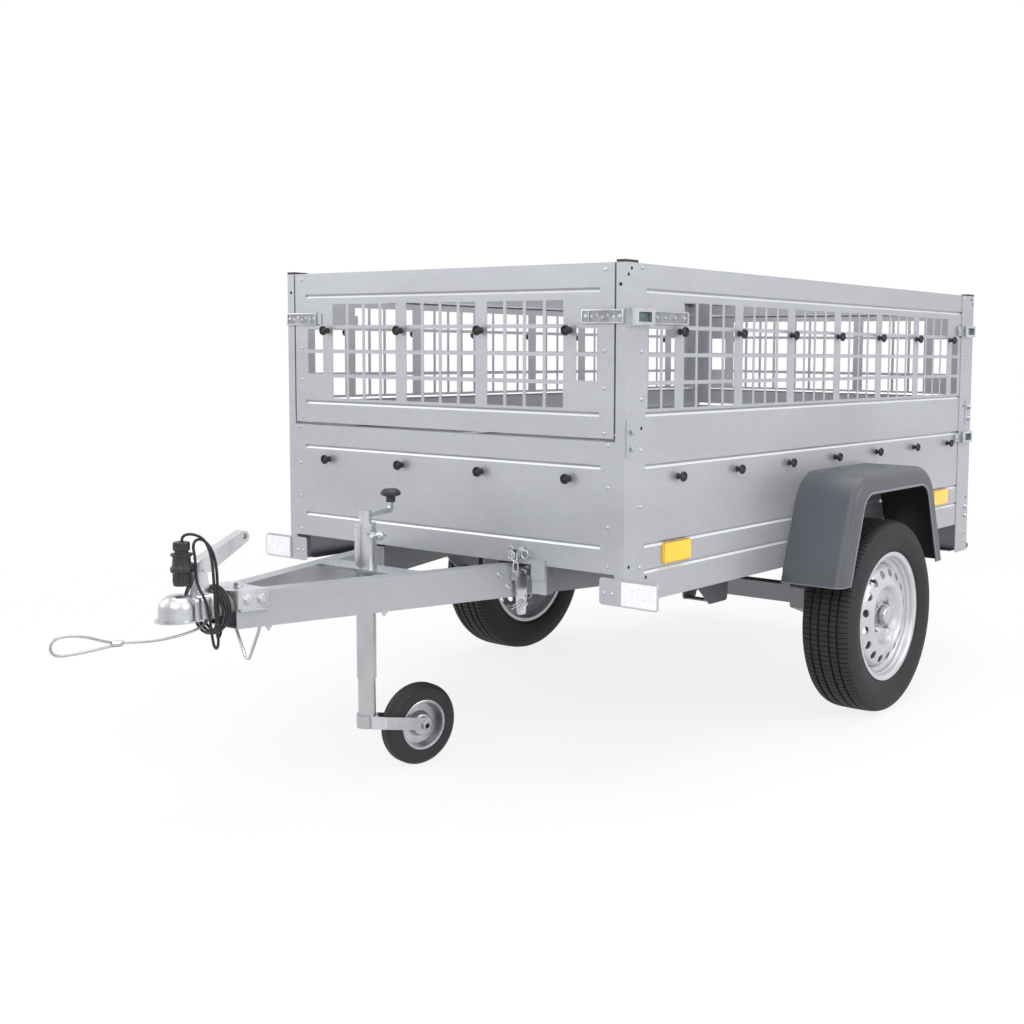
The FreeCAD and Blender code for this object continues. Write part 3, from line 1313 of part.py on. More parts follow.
fill_sheet()
make_floor()
make_cross_members()
make_side_panels()
make_side_meshes()
make_front_panel()
make_posts()
make_post_caps()
make_mesh_gate("front_mesh_gate", "-box_front", -1)
make_mesh_gate("rear_mesh_gate", "box_rear", 1)
make_tailgate()
make_corner_latches()
make_mudguards()
make_axle_beam()
make_swing_arms()
make_wheels()
make_drawbar_arms()
make_pivot_bushes()
make_cable_gland()
make_hinge_brackets()
make_jockey_mount()
make_coupling()
make_coupling_lever()
make_tilt_latch()
make_latch_catch()
make_jockey_tube()
make_jockey_stem()
make_jockey_fork()
make_jockey_wheel()
make_crank()
make_cable_stay()
make_lamp_bar()
make_lamps()
make_reflectors()
make_buffers()
make_plug()
make_coil()
make_cords()
doc.recompute()


# Every feature has to be whole, and every cut has to remove something, before a file is written


def faults():
    found = []
    for item in doc.Objects:
        if "Invalid" in item.State or "Error" in item.State:
            found.append(f"{item.Name} is {item.State}")
        if item.TypeId in ("PartDesign::Pocket", "PartDesign::Groove"):
            if item.BaseFeature and item.Shape.Volume > item.BaseFeature.Shape.Volume - 0.01:
                found.append(f"{item.Name} cuts nothing")
    for piece in pieces:
        if piece.Shape.isNull() or not piece.Shape.isValid() or not piece.Shape.Solids:
            found.append(f"{piece.Label} has no valid shape")
    return found


problems = faults()
if problems:
    raise RuntimeError("; ".join(problems))
os.makedirs("parts", exist_ok=True)
for piece in pieces:
    piece.Shape.exportStep(f"parts/{piece.Label}.step")
print(f"{len(pieces)} sub-parts written")
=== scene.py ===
import json
import math

import bpy
from bpy.props import FloatProperty, FloatVectorProperty, IntProperty, PointerProperty
from mathutils import Matrix, Vector


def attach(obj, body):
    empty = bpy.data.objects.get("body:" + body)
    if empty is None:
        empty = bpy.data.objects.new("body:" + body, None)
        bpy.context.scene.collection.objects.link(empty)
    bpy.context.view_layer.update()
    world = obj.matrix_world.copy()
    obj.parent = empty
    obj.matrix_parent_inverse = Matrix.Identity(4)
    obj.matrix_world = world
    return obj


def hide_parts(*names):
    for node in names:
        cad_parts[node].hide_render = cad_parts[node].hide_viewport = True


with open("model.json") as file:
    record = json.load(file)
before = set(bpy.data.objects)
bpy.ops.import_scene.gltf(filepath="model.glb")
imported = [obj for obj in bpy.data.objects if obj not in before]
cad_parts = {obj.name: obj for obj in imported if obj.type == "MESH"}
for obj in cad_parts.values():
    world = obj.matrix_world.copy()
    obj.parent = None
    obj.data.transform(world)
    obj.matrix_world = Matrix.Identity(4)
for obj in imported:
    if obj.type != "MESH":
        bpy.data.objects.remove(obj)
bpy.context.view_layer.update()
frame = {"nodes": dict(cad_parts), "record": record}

bl_info = {
    "name": "Box trailer with mesh sides",
    "version": (1, 0, 0),
    "blender": (4, 5, 0),
    "location": "3D View > Sidebar > Trailer",
    "description": "Finishes and details of a galvanised single axle box trailer",
    "category": "Object",
}

# Places are in millimetres: X to the trailer's left, Y backwards from the axle line and Z up.
AXLE_BACK = 445.5
BOX_SIDE, POST_SIDE = 568.0, 570.0
BOX_FRONT, BOX_REAR = -1050.0, 950.0
WHEEL_OUT, WHEEL_RISE = 668.0, 273.5
BUTTON_ROWS = (720.0, 1061.0)
FRONT_BUTTONS = (-411.0, -137.0, 137.0, 411.0)
SIDE_BUTTONS = tuple(-832.0 + 265.3 * k for k in range(7))
LATCH_RISE, LOW_LATCH_RISE = 1092.0, 735.0
STRAP_OUT = 508.0

# The drawbar's arms run from their tips by the coupling to the box, each 42 mm thick.
ARM_TIP_OUT, ARM_TIP_Y, ARM_HALF = 25.0, -1702.0, 21.0
ARM_SLOPE = (407.0 - ARM_TIP_OUT) / (-470.0 - ARM_TIP_Y)
JOCKEY_CENTRE = Vector((0.025353, -0.71072, 0.1))
JOCKEY_AXLE = Vector((0.984808, -0.173648, 0.0))

# A mudguard is an arch of two leaning legs, two bends and a flat top, with a rounded outer edge.
GUARD_FOOT, GUARD_TOP = 397.0, 690.0
GUARD_FOOT_REACH, GUARD_TOP_REACH = 335.0, 236.0
GUARD_BEND, GUARD_EDGE, GUARD_SHEET = 110.0, 26.0, 4.0
GUARD_EDGE_OUT = 724.0
GUARD_LEAN = math.atan2(GUARD_FOOT_REACH - GUARD_TOP_REACH, GUARD_TOP - GUARD_FOOT)

ORIGIN = Vector((0.0, 0.0, 0.0))
UP = Vector((0.0, 0.0, 1.0))
FORWARD = Vector((0.0, -1.0, 0.0))
BACKWARD = Vector((0.0, 1.0, 0.0))
SIDES = (("left", 1), ("right", -1))
MIRROR = Matrix.Diagonal((-1.0, 1.0, 1.0, 1.0))


def at(x, y, z):
    """A point in metres from millimetres, with y counted from the axle line."""
    return Vector((x, y + AXLE_BACK, z)) / 1000.0


def outward(side):
    return Vector((side, 0.0, 0.0))


def arm_out(y):
    """How far out the middle of a drawbar arm runs."""
    return ARM_TIP_OUT + (y - ARM_TIP_Y) * ARM_SLOPE


def tint(red, green, blue):
    """A scene colour from screen levels of 0 to 255."""
    levels = [level / 255.0 for level in (red, green, blue)]
    return tuple(v / 12.92 if v <= 0.04045 else ((v + 0.055) / 1.055) ** 2.4 for v in levels)


class TrailerSizes(bpy.types.PropertyGroup):
    knob_width: FloatProperty(name="Knob width", description="Across the head of a tarpaulin knob",
                              default=0.025, min=0.01, max=0.05, unit="LENGTH")
    knob_height: FloatProperty(name="Knob height", description="How far a tarpaulin knob stands out",
                               default=0.02, min=0.01, max=0.05, unit="LENGTH")
    rivet_width: FloatProperty(name="Rivet width", description="Across the head of a rivet",
                               default=0.0088, min=0.003, max=0.02, unit="LENGTH")
    bolt_width: FloatProperty(name="Bolt width", description="Across the flats of the bolt heads",
                              default=0.015, min=0.006, max=0.03, unit="LENGTH")
    tread_pitches: IntProperty(name="Tread pitches", description="How often the tread pattern repeats",
                               default=118, min=24, max=160)
    sipe_depth: FloatProperty(name="Sipe depth", description="Depth of the cuts across the tread's ribs",
                              default=0.0045, min=0.001, max=0.008, unit="LENGTH")
    cable_width: FloatProperty(name="Cable width", description="Diameter of the lighting cable",
                               default=0.006, min=0.004, max=0.012, unit="LENGTH")
    rope_width: FloatProperty(name="Rope width", description="Diameter of the safety rope",
                              default=0.0055, min=0.003, max=0.01, unit="LENGTH")


class TrailerColours(bpy.types.PropertyGroup):
    zinc: FloatVectorProperty(name="Galvanised sheet", description="Hot dip galvanised sheets and tubes",
                              default=tint(184, 186, 192), size=3, min=0, max=1, subtype="COLOR")
    plated: FloatVectorProperty(name="Zinc plate", description="Bright zinc plated fittings",
                                default=tint(214, 216, 220), size=3, min=0, max=1, subtype="COLOR")
    guard: FloatVectorProperty(name="Mudguards", description="Moulded plastic of the mudguards",
                               default=tint(82, 84, 91), size=3, min=0, max=1, subtype="COLOR")
    plastic: FloatVectorProperty(name="Small plastics", description="Knobs, caps and the plug",
                                 default=tint(38, 38, 41), size=3, min=0, max=1, subtype="COLOR")
    rubber: FloatVectorProperty(name="Rubber", description="Tyre rubber",
                                default=tint(36, 36, 39), size=3, min=0, max=1, subtype="COLOR")
    wheel: FloatVectorProperty(name="Wheel paint", description="Silver paint of the steel wheels",
                               default=tint(207, 208, 213), size=3, min=0, max=1, subtype="COLOR")
    amber: FloatVectorProperty(name="Amber", description="Side reflectors and indicators",
                               default=tint(255, 200, 10), size=3, min=0, max=1, subtype="COLOR")
    red: FloatVectorProperty(name="Red", description="Tail lamps",
                             default=tint(190, 12, 18), size=3, min=0, max=1, subtype="COLOR")
    floor: FloatVectorProperty(name="Plywood film", description="Film on the load floor",
                               default=tint(84, 60, 47), size=3, min=0, max=1, subtype="COLOR")


# Finishes


def maths(kind, swapped=False):
    """A method that adds a Math node, with its inputs swapped for a reflected form."""
    def method(self, other=0.5):
        pair = {0: other, 1: self} if swapped else {0: self, 1: other}
        return self.node("Math", {"operation": kind}, pair)
    return method


class Wire:
    """An output socket in a material. Sums and products of it add nodes to its tree."""

    __add__ = __radd__ = maths("ADD")
    __mul__ = __rmul__ = maths("MULTIPLY")
    __sub__ = maths("SUBTRACT")
    __rsub__ = maths("SUBTRACT", swapped=True)
    __gt__ = maths("GREATER_THAN")
    __lt__ = maths("LESS_THAN")
    larger = maths("MAXIMUM")
    smaller = maths("MINIMUM")
    size = maths("ABSOLUTE")
    sine = maths("SINE")
    root = maths("SQRT")

    def __init__(self, tree, socket=None):
        self.tree = tree
        self.socket = socket

    def node(self, kind, settings, sockets, out=0):
        """Add a node of a type: first its settings, then a number or a wire for each socket."""
        made = self.tree.nodes.new("ShaderNode" + kind)
        for name, setting in settings.items():
            setattr(made, name, setting)
        for place, given in sockets.items():
            if isinstance(given, Wire):
                self.tree.links.new(given.socket, made.inputs[place])
            else:
                made.inputs[place].default_value = given
        return Wire(self.tree, made.outputs[out] if made.outputs else None)

    def between(self, low, high):
        """How far the value has come from low to high, from 0 to 1."""
        return self.node("MapRange", {}, {"Value": self, "From Min": low, "From Max": high})

    def blend(self, first, second):
        """The first colour where this is 0 and the second where it is 1."""
        return self.node("Mix", {"data_type": "RGBA"}, {0: self, 6: first, 7: second}, out=2)

    def stretched(self, x, y, z):
        return self.node("VectorMath", {"operation": "MULTIPLY"}, {0: self, 1: (x, y, z)})

    def noise(self, scale, detail):
        return self.node("TexNoise", {}, {"Vector": self, "Scale": scale, "Detail": detail})

    def cells(self, scale, out="Color"):
        return self.node("TexVoronoi", {}, {"Vector": self, "Scale": scale}, out=out)

    def coordinates(self, kind):
        return self.node("TexCoord", {}, {}, out=kind)

    def parts(self):
        """The X, Y and Z of a vector."""
        split = self.node("SeparateXYZ", {}, {0: self})
        return [Wire(self.tree, socket) for socket in split.socket.node.outputs]


def rgb(colour, share=1.0):
    """A colour for a socket, made darker or lighter by a share."""
    return (*(min(level * share, 1.0) for level in colour), 1.0)


def new_finish(name):
    """An empty material and the object coordinates inside it, which are metres from the frame's origin."""
    material = bpy.data.materials.new(name)
    material.use_nodes = True
    material.node_tree.nodes.clear()
    return material, Wire(material.node_tree).coordinates("Object")


def surface(material, place, **sockets):
    """Close a material with its shader: socket names use underscores for spaces."""
    named = {name.replace("_", " "): given for name, given in sockets.items()}
    shader = place.node("BsdfPrincipled", {}, named, out="BSDF")
    place.node("OutputMaterial", {}, {"Surface": shader})
    return material


def bumped(height, strength, distance):
    return height.node("Bump", {}, {"Height": height, "Strength": strength, "Distance": distance}, out="Normal")


def slopes(place):
    """How far a surface leans upwards and how far it leans downwards, from 0 for an upright one to 1."""
    rise = place.coordinates("Normal").parts()[2]
    fall = rise * -1.0
    return rise.between(0.2, 0.62) * fall.between(-0.97, -0.86), fall.between(0.2, 0.62)


def zinc_sheet(colours):
    """Hot dip zinc: a faint spangle and long clouds, with a painted highlight on the upper slopes of its folds,
    painted shade on its undersides and painted shade under the bed.
    """
    material, place = new_finish("galvanised")
    spangle = place.cells(70.0).parts()[0]
    fine = place.noise(420.0, 2.0)
    clouds = place.stretched(1.0, 1.0, 2.4).noise(1.9, 3.0)
    streaks = place.stretched(1.0, 1.0, 40.0).noise(5.0, 2.0)
    tone = spangle * 0.08 + streaks * 0.22 + clouds * 0.7
    colour = tone.between(0.3, 0.7).blend(rgb(colours.zinc, 0.9), rgb(colours.zinc, 1.09))
    upper, lower = slopes(place)
    # Painted highlight: upward slopes of the folds turn near white
    colour = (upper * 0.9).blend(colour, (0.97, 0.98, 1.0, 1.0))
    # Painted shade: downward-facing surfaces turn dark
    colour = (lower * 0.42).blend(colour, rgb(colours.zinc, 0.3))
    x, y, z = place.parts()
    arms = y < at(0.0, BOX_FRONT - 6.0, 0.0).y
    colour = (arms * 0.3).blend(colour, rgb(colours.zinc, 0.62))
    off_middle = x.size()
    # Painted shade under the bed, deepest near the middle
    bed_underside = (z < 0.506) * (off_middle < 0.555) * (y > at(0.0, BOX_FRONT + 4.0, 0.0).y)
    under_bed_shade = bed_underside * (0.9 - off_middle.between(0.1, 0.3) * 0.3)
    colour = under_bed_shade.blend(colour, rgb(colours.zinc, 0.14))
    return surface(material, place, Base_Color=colour, Metallic=0.62,
                   Roughness=0.3 + spangle * 0.03 + clouds * 0.14,
                   Normal=bumped(spangle * 0.3 + fine * 0.5, 0.07, 0.0004))


def zinc_plated(colours):
    """Cloudy zinc plate, darker on the jockey wheel's tube and fork, with a painted highlight on its upper
    slopes and painted shade on its undersides.
    """
    material, place = new_finish("zinc_plate")
    cloud = place.stretched(1.0, 1.0, 0.5).noise(22.0, 2.0)
    fine = place.noise(260.0, 2.0)
    tone = (cloud * 0.75 + fine * 0.25).between(0.34, 0.66)
    colour = tone.blend(rgb(colours.plated, 0.66), rgb(colours.plated, 0.97))
    x, y, z = place.parts()
    stem = (z < 0.44) * (x.size() < 0.03) * ((y + 0.8545).size() < 0.03)
    fork = (z < 0.16) * (y > -0.826)
    colour = (stem * 0.6).blend(colour, rgb(colours.plated, 0.62))
    colour = (fork * 0.5).blend(colour, rgb(colours.plated, 0.56))
    upper, lower = slopes(place)
    # Painted highlight: upward slopes turn near white
    colour = (upper * 0.4).blend(colour, (0.94, 0.95, 0.97, 1.0))
    # Painted shade: downward-facing surfaces turn dark
    colour = (lower * 0.62).blend(colour, rgb(colours.plated, 0.2))
    return surface(material, place, Base_Color=colour, Metallic=0.88, Roughness=0.2 + cloud * 0.12,
                   Normal=bumped(fine, 0.12, 0.0003))


def moulded(name, colour, roughness, grain, strength):
    """Moulded plastic with a fine grain and handled, slightly paler patches."""
    material, place = new_finish(name)
    wear = place.noise(7.0, 5.0)
    return surface(material, place, Base_Color=wear.between(0.4, 0.75).blend(rgb(colour), rgb(colour, 1.22)),
                   Roughness=roughness + wear * 0.12,
                   Normal=bumped(place.cells(grain, out="Distance"), strength, 0.0004))


def guard_bend():
    """Where the front bend of a mudguard starts, and its centre."""
    along = Vector((0.0, math.sin(GUARD_LEAN), math.cos(GUARD_LEAN)))
    inward = Vector((0.0, math.cos(GUARD_LEAN), -math.sin(GUARD_LEAN)))
    turn = math.pi / 2 - GUARD_LEAN
    start = at(0.0, -GUARD_TOP_REACH, GUARD_TOP) - along * math.tan(turn / 2) * GUARD_BEND / 1000.0
    return along, inward, turn, start, start + inward * GUARD_BEND / 1000.0


def guard_shell(colours):
    """Moulded plastic of the mudguards, with a painted highlight on the lip and the bottom edge, and painted
    near-black shade inside the arch.
    """
    material, place = new_finish("guard_plastic")
    x, y, z = place.parts()
    out = x.size()
    far = (y - AXLE_BACK / 1000.0).size()
    lean = math.tan(GUARD_LEAN)
    centre = guard_bend()[-1]
    # How deep a point lies under the legs, the flat top and the bends between them
    in_leg = (GUARD_FOOT_REACH / 1000.0 - (far + (z - GUARD_FOOT / 1000.0) * lean)) * math.cos(GUARD_LEAN)
    in_top = GUARD_TOP / 1000.0 - z
    past = far - (AXLE_BACK / 1000.0 - centre.y)
    above = z - centre.z
    in_bend = GUARD_BEND / 1000.0 - (past * past + above * above).root()
    bend = (past > 0.0) * (above > past * lean)
    deep = in_leg.smaller(in_top) * (1.0 - bend) + in_bend * bend
    # The rounded outer edge is skin too
    edge_out = out - GUARD_EDGE_OUT / 1000.0
    edge_up = GUARD_EDGE / 1000.0 - deep
    round_edge = edge_out * edge_out + edge_up * edge_up > ((GUARD_EDGE - 2.0) / 1000.0) ** 2
    skin = (edge_out > 0.0) * (edge_up > 0.0) * round_edge
    inside = (deep > 0.002) * (out < 0.748) * (1.0 - skin)
    wear = place.noise(5.0, 5.0)
    shade = wear.between(0.4, 0.75).blend(rgb(colours.guard), rgb(colours.guard, 1.18))
    # Painted highlight along the beaded lip and the bottom edge
    lip = (out > 0.7503).larger(z < 0.3995)
    shade = (lip * 0.6).blend(shade, rgb(colours.guard, 3.4))
    # Painted shade: near black inside the arch
    shade = inside.blend(shade, rgb(colours.guard, 0.1))
    return surface(material, place, Base_Color=shade, Roughness=0.36 + wear * 0.12,
                   Normal=bumped(place.cells(620.0, out="Distance"), 0.12, 0.0003))


def reflector(name, colour, facet, edges):
    """A clear reflector over small prisms with a faint painted glow, duller past its edges: the axis, middle
    and reach of each.
    """
    material, place = new_finish(name)
    shade = place.cells(facet).parts()[0].blend(rgb(colour, 0.88), rgb(colour))
    parts = place.parts()
    for axis, middle, reach in edges:
        rim = (parts[axis].size() - middle).size() > reach
        shade = rim.blend(shade, rgb(colour, 0.5))
    # The faint emission is a painted glow, as the reflector is no lamp
    return surface(material, place, Base_Color=shade, Roughness=0.16, Coat_Weight=0.7, Coat_Roughness=0.04,
                   Emission_Color=shade, Emission_Strength=0.16,
                   Normal=bumped(place.cells(facet, out="Distance"), 0.35, 0.001))


def lamp_lens(colours):
    """A rear lamp with an amber outer third, a red middle and a clear inner end, ribbed inside."""
    material, place = new_finish("lamp_red")
    x, _, z = place.parts()
    out = x.size()
    red_start, amber_start, seam = 0.375, 0.468, 0.0012
    shade = (out > red_start).blend((0.75, 0.76, 0.78, 1.0), rgb(colours.red))
    shade = (out > amber_start).blend(shade, rgb(colours.amber))
    seams = ((out - red_start).size() < seam) + ((out - amber_start).size() < seam)
    shade = seams.blend(shade, (0.02, 0.02, 0.02, 1.0))
    return surface(material, place, Base_Color=shade, Roughness=0.14, Coat_Weight=0.6,
                   Normal=bumped((z * 900.0).sine(), 0.3, 0.0012))


def rubber(name, colour, roughness):
    """Rubber with a fine grain, dusty in patches."""
    material, place = new_finish(name)
    dust = place.noise(14.0, 5.0)
    shade = dust.between(0.42, 0.78).blend(rgb(colour, 0.86), rgb(colour, 1.35))
    return surface(material, place, Base_Color=shade, Roughness=roughness + dust * 0.16,
                   Normal=bumped(place.noise(900.0, 2.0), 0.3, 0.0004))


def silver_paint(colours):
    """Silver paint of the road wheels, and the cloudier zinc of the jockey wheel's rim."""
    material, place = new_finish("wheel_silver")
    flake = place.noise(1500.0, 1.0)
    dust = place.noise(16.0, 4.0)
    shade = dust.between(0.35, 0.75).blend(rgb(colours.wheel, 0.9), rgb(colours.wheel, 1.05))
    _, y, z = place.parts()
    jockey = (z < 0.2) * (y < -0.6)
    zinc = dust.between(0.35, 0.65).blend(rgb(colours.wheel, 0.5), rgb(colours.wheel, 0.82))
    return surface(material, place, Base_Color=jockey.blend(shade, zinc),
                   Metallic=0.45 + flake * 0.2 + jockey * 0.35, Roughness=0.3 + dust * 0.14 - jockey * 0.12,
                   Coat_Weight=0.35, Coat_Roughness=0.12, Normal=bumped(flake, 0.06, 0.0003))


def bare_steel(name, colour, roughness):
    """Bare steel with cloudy patches."""
    material, place = new_finish(name)
    cloud = place.noise(60.0, 4.0)
    shade = cloud.between(0.35, 0.7).blend(rgb(colour, 0.75), rgb(colour, 1.15))
    return surface(material, place, Base_Color=shade, Metallic=0.85, Roughness=roughness + cloud * 0.2,
                   Normal=bumped(cloud, 0.2, 0.0006))


def film_ply(colours):
    """Brown film on plywood with its printed mesh of small diamonds, pale scuffs and a black underside."""
    material, place = new_finish("ply")
    x, y, _ = place.parts()
    mesh = ((x + y) * 620.0).sine().larger(((x - y) * 620.0).sine())
    scuffs = place.stretched(1.0, 5.0, 1.0).noise(9.0, 6.0)
    shade = mesh.between(0.55, 0.95).blend(rgb(colours.floor), rgb(colours.floor, 0.62))
    shade = scuffs.between(0.56, 0.85).blend(shade, (0.15, 0.125, 0.112, 1.0))
    below = place.coordinates("Normal").parts()[2] < -0.5
    shade = (below * 0.85).blend(shade, (0.006, 0.006, 0.006, 1.0))
    return surface(material, place, Base_Color=shade, Roughness=0.4 + scuffs * 0.25,
                   Normal=bumped(mesh, 0.35, 0.0006))


def wire_rope(colours):
    """Clear coated steel wire whose strands run round the rope."""
    material, place = new_finish("rope")
    u, v, _ = place.coordinates("UV").parts()
    strands = (u * 180.0 + v * 37.7).sine().between(-1.0, 1.0)
    shade = strands.blend(rgb(colours.plated, 0.3), rgb(colours.plated, 0.8))
    return surface(material, place, Base_Color=shade, Metallic=0.6, Roughness=0.3, Coat_Weight=0.8,
                   Coat_Roughness=0.08)


FINISHES = {}


def make_finishes(colours):
    """Make every finish, under the name of its slot in the frame or of its use here."""
    FINISHES.update({
        "galvanised": zinc_sheet(colours),
        "zinc_plate": zinc_plated(colours),
        "black_plastic": moulded("black_plastic", colours.plastic, 0.36, 900.0, 0.12),
        "guard_plastic": guard_shell(colours),
        "amber": reflector("amber", colours.amber, 300.0, ((2, 0.543, 0.0225),)),
        "white_reflector": reflector("white_reflector", tint(240, 240, 244), 260.0,
                                     ((0, 0.6175, 0.0488), (2, 0.4685, 0.0268))),
        "lamp_red": lamp_lens(colours),
        "ply": film_ply(colours),
        "tyre": rubber("tyre", colours.rubber, 0.62),
        "wheel_rubber": rubber("wheel_rubber", colours.rubber, 0.55),
        "wheel_silver": silver_paint(colours),
        "dark_steel": bare_steel("dark_steel", tint(150, 150, 153), 0.3),
        "cable": rubber("cable", tint(22, 22, 24), 0.34),
        "rope": wire_rope(colours),
        # Near-black discs that paint the shade inside holes
        "hole": moulded("hole", tint(10, 10, 11), 0.8, 700.0, 0.05),
        # Darker steel that paints the shade in the straps' recessed floors
        "shaded_strap_floor": bare_steel("shaded_strap_floor", tint(158, 160, 163), 0.34),
        "latch_window": bare_steel("latch_window", tint(112, 126, 126), 0.28),
    })


# Modelling


def clear_selection():
    leave_edit()
    bpy.ops.object.select_all(action="DESELECT")


def leave_edit():
    if bpy.context.mode != "OBJECT":
        bpy.ops.object.mode_set(mode="OBJECT")


def take(piece):
    """Select only this piece, and make it the active one."""
    clear_selection()
    piece.select_set(True)
    bpy.context.view_layer.objects.active = piece


def edit(piece, kind="FACE"):
    """Open only this piece in edit mode, with all of it selected as vertices or faces."""
    take(piece)
    bpy.context.tool_settings.mesh_select_mode = (kind == "VERT", False, kind == "FACE")
    bpy.ops.object.mode_set(mode="EDIT")
    bpy.ops.mesh.select_all(action="SELECT")


def pull(way):
    """Extrude what is selected by a vector."""
    bpy.ops.mesh.extrude_region_move(TRANSFORM_OT_translate={"value": way})


def swell(reach):
    """Extrude what is selected along its normals."""
    bpy.ops.mesh.extrude_region_shrink_fatten(TRANSFORM_OT_shrink_fatten={"value": reach})


def newest(name):
    """The primitive that was just added, named and with its place in its mesh."""
    piece = bpy.context.object
    piece.name = name
    bpy.ops.object.transform_apply(location=True, rotation=True, scale=True)
    return piece


def closed(piece, angle=35.0):
    """Merge doubles, turn the faces outwards and smooth the piece up to an angle."""
    edit(piece, "VERT")
    bpy.ops.mesh.remove_doubles(threshold=0.000004)
    bpy.ops.mesh.normals_make_consistent(inside=False)
    leave_edit()
    bpy.ops.object.shade_smooth_by_angle(angle=math.radians(angle))
    return piece


def modified(piece, kind, **settings):
    """Add a modifier with its settings and apply it."""
    take(piece)
    modifier = piece.modifiers.new(kind.lower(), kind)
    for name, setting in settings.items():
        setattr(modifier, name, setting)
    bpy.ops.object.modifier_apply(modifier=modifier.name)


def turned(name, profile, steps=24, centre=ORIGIN, axis=UP, ring=False):
    """A round form: a disc at the profile's first point, drawn along the axis through the other ones.

    The profile is (radius, distance) in millimetres. A ring has an open start, and its profile
    comes back to where it started.
    """
    clear_selection()
    axis = axis.normalized()
    radius, reach = profile[0]
    bpy.ops.mesh.primitive_circle_add(vertices=steps, radius=radius / 1000.0,
                                      fill_type="NOTHING" if ring else "NGON",
                                      location=centre + axis * reach / 1000.0,
                                      rotation=axis.to_track_quat("Z", "Y").to_euler())
    piece = newest(name)
    edit(piece, "VERT" if ring else "FACE")
    for (before, start), (after, end) in zip(profile, profile[1:]):
        pull(axis * (end - start) / 1000.0)
        if after != before:
            bpy.ops.transform.resize(value=(after / before,) * 3, center_override=centre + axis * end / 1000.0)
    leave_edit()
    return closed(piece)


def block(name, low, high, edge=0.0, steps=2):
    """A block between two corners in metres, with its edges rounded."""
    clear_selection()
    low = Vector(low)
    high = Vector(high)
    bpy.ops.mesh.primitive_cube_add(size=1.0, location=(low + high) / 2)
    bpy.context.object.scale = high - low
    piece = newest(name)
    modified(piece, "BEVEL", width=edge / 1000.0, segments=steps)
    return closed(piece)


def channel(name, length, height, thick=3.4, rim=2.6, floor=0.9):
    """A pressed strap lying on the XY plane, with a raised rim round its thin floor."""
    half = Vector((length, height, 0.0)) / 2000.0
    strap = block(name, -half, half + UP * thick / 1000.0, 0.7)
    pick_faces(strap, lambda middle, normal: normal.z > 0.99 and middle.z > thick / 1000.0 - 1e-5)
    bpy.ops.mesh.inset(thickness=rim / 1000.0, depth=0.0)
    swell((floor - thick) / 1000.0)
    leave_edit()
    return closed(strap, 30.0)


def bent_wire(name, wire, bend, turn, tails=(0.0, 0.0)):
    """A round wire in the XY plane: an arc round the origin with a straight tail at each end."""
    clear_selection()
    bpy.ops.mesh.primitive_circle_add(vertices=8, radius=wire / 1000.0, fill_type="NGON",
                                      location=(bend / 1000.0, -tails[0] / 1000.0, 0.0),
                                      rotation=(math.pi / 2, 0.0, 0.0))
    piece = newest(name)
    edit(piece)
    if tails[0]:
        pull((0.0, tails[0] / 1000.0, 0.0))
    angle = math.radians(turn)
    bpy.ops.mesh.spin(steps=max(6, int(turn / 18)), angle=-angle, center=ORIGIN, axis=UP)
    if tails[1]:
        pull(Vector((-math.sin(angle), math.cos(angle), 0.0)) * tails[1] / 1000.0)
    leave_edit()
    return closed(piece, 50.0)


def outline(name, points, fill=True):
    """A closed line in the XZ plane through points in metres, or the flat face inside it."""
    clear_selection()
    x0, z0 = points[0]
    bpy.ops.mesh.primitive_plane_add(size=0.01, location=(x0, 0.0, z0))
    piece = newest(name)
    edit(piece, "VERT")
    bpy.ops.mesh.merge(type="CENTER")
    for (xa, za), (xb, zb) in zip(points, points[1:] + points[:1]):
        pull((xb - xa, 0.0, zb - za))
    bpy.ops.mesh.select_all(action="SELECT")
    bpy.ops.mesh.remove_doubles(threshold=0.00001)
    if fill:
        bpy.ops.mesh.edge_face_add()
    leave_edit()
    return piece


def pick_faces(piece, test):
    """Open the piece in edit mode with the faces selected whose centre and normal pass a test."""
    edit(piece)
    bpy.ops.mesh.select_all(action="DESELECT")
    leave_edit()
    picked = [face for face in piece.data.polygons if test(face.center, face.normal)]
    if not picked:
        raise RuntimeError(f"no face of {piece.name} was picked")
    for face in picked:
        face.select = True
    bpy.ops.object.mode_set(mode="EDIT")


def facing(point, out, turn=0.0):
    """Moves a piece made at the origin, standing on Z, to a point where it stands along out."""
    lean = Vector(out).to_track_quat("Z", "Y").to_matrix().to_4x4()
    return Matrix.Translation(point) @ lean @ Matrix.Rotation(turn, 4, "Z")


def joined(name, pieces):
    clear_selection()
    for piece in pieces:
        piece.select_set(True)
    bpy.context.view_layer.objects.active = pieces[0]
    if len(pieces) > 1:
        bpy.ops.object.join()
    pieces[0].name = name
    return pieces[0]


def copied(piece, places, name=None, keep=False):
    """Copies of a piece, each with its own mesh, joined into one."""
    made = []
    for place in places:
        twin = piece.copy()
        twin.data = piece.data.copy()
        twin.data.transform(place)
        if place.determinant() < 0:
            twin.data.flip_normals()
        bpy.context.collection.objects.link(twin)
        made.append(twin)
    if not keep:
        remove(piece)
    return joined(name or made[0].name, made)


def remove(*pieces):
    for piece in pieces:
        bpy.data.objects.remove(piece)


def dress(piece, finish, body):
    """Give a new piece its finish and the body that it moves with."""
    piece.data.materials.clear()
    piece.data.materials.append(FINISHES[finish])
    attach(piece, body)
    return piece


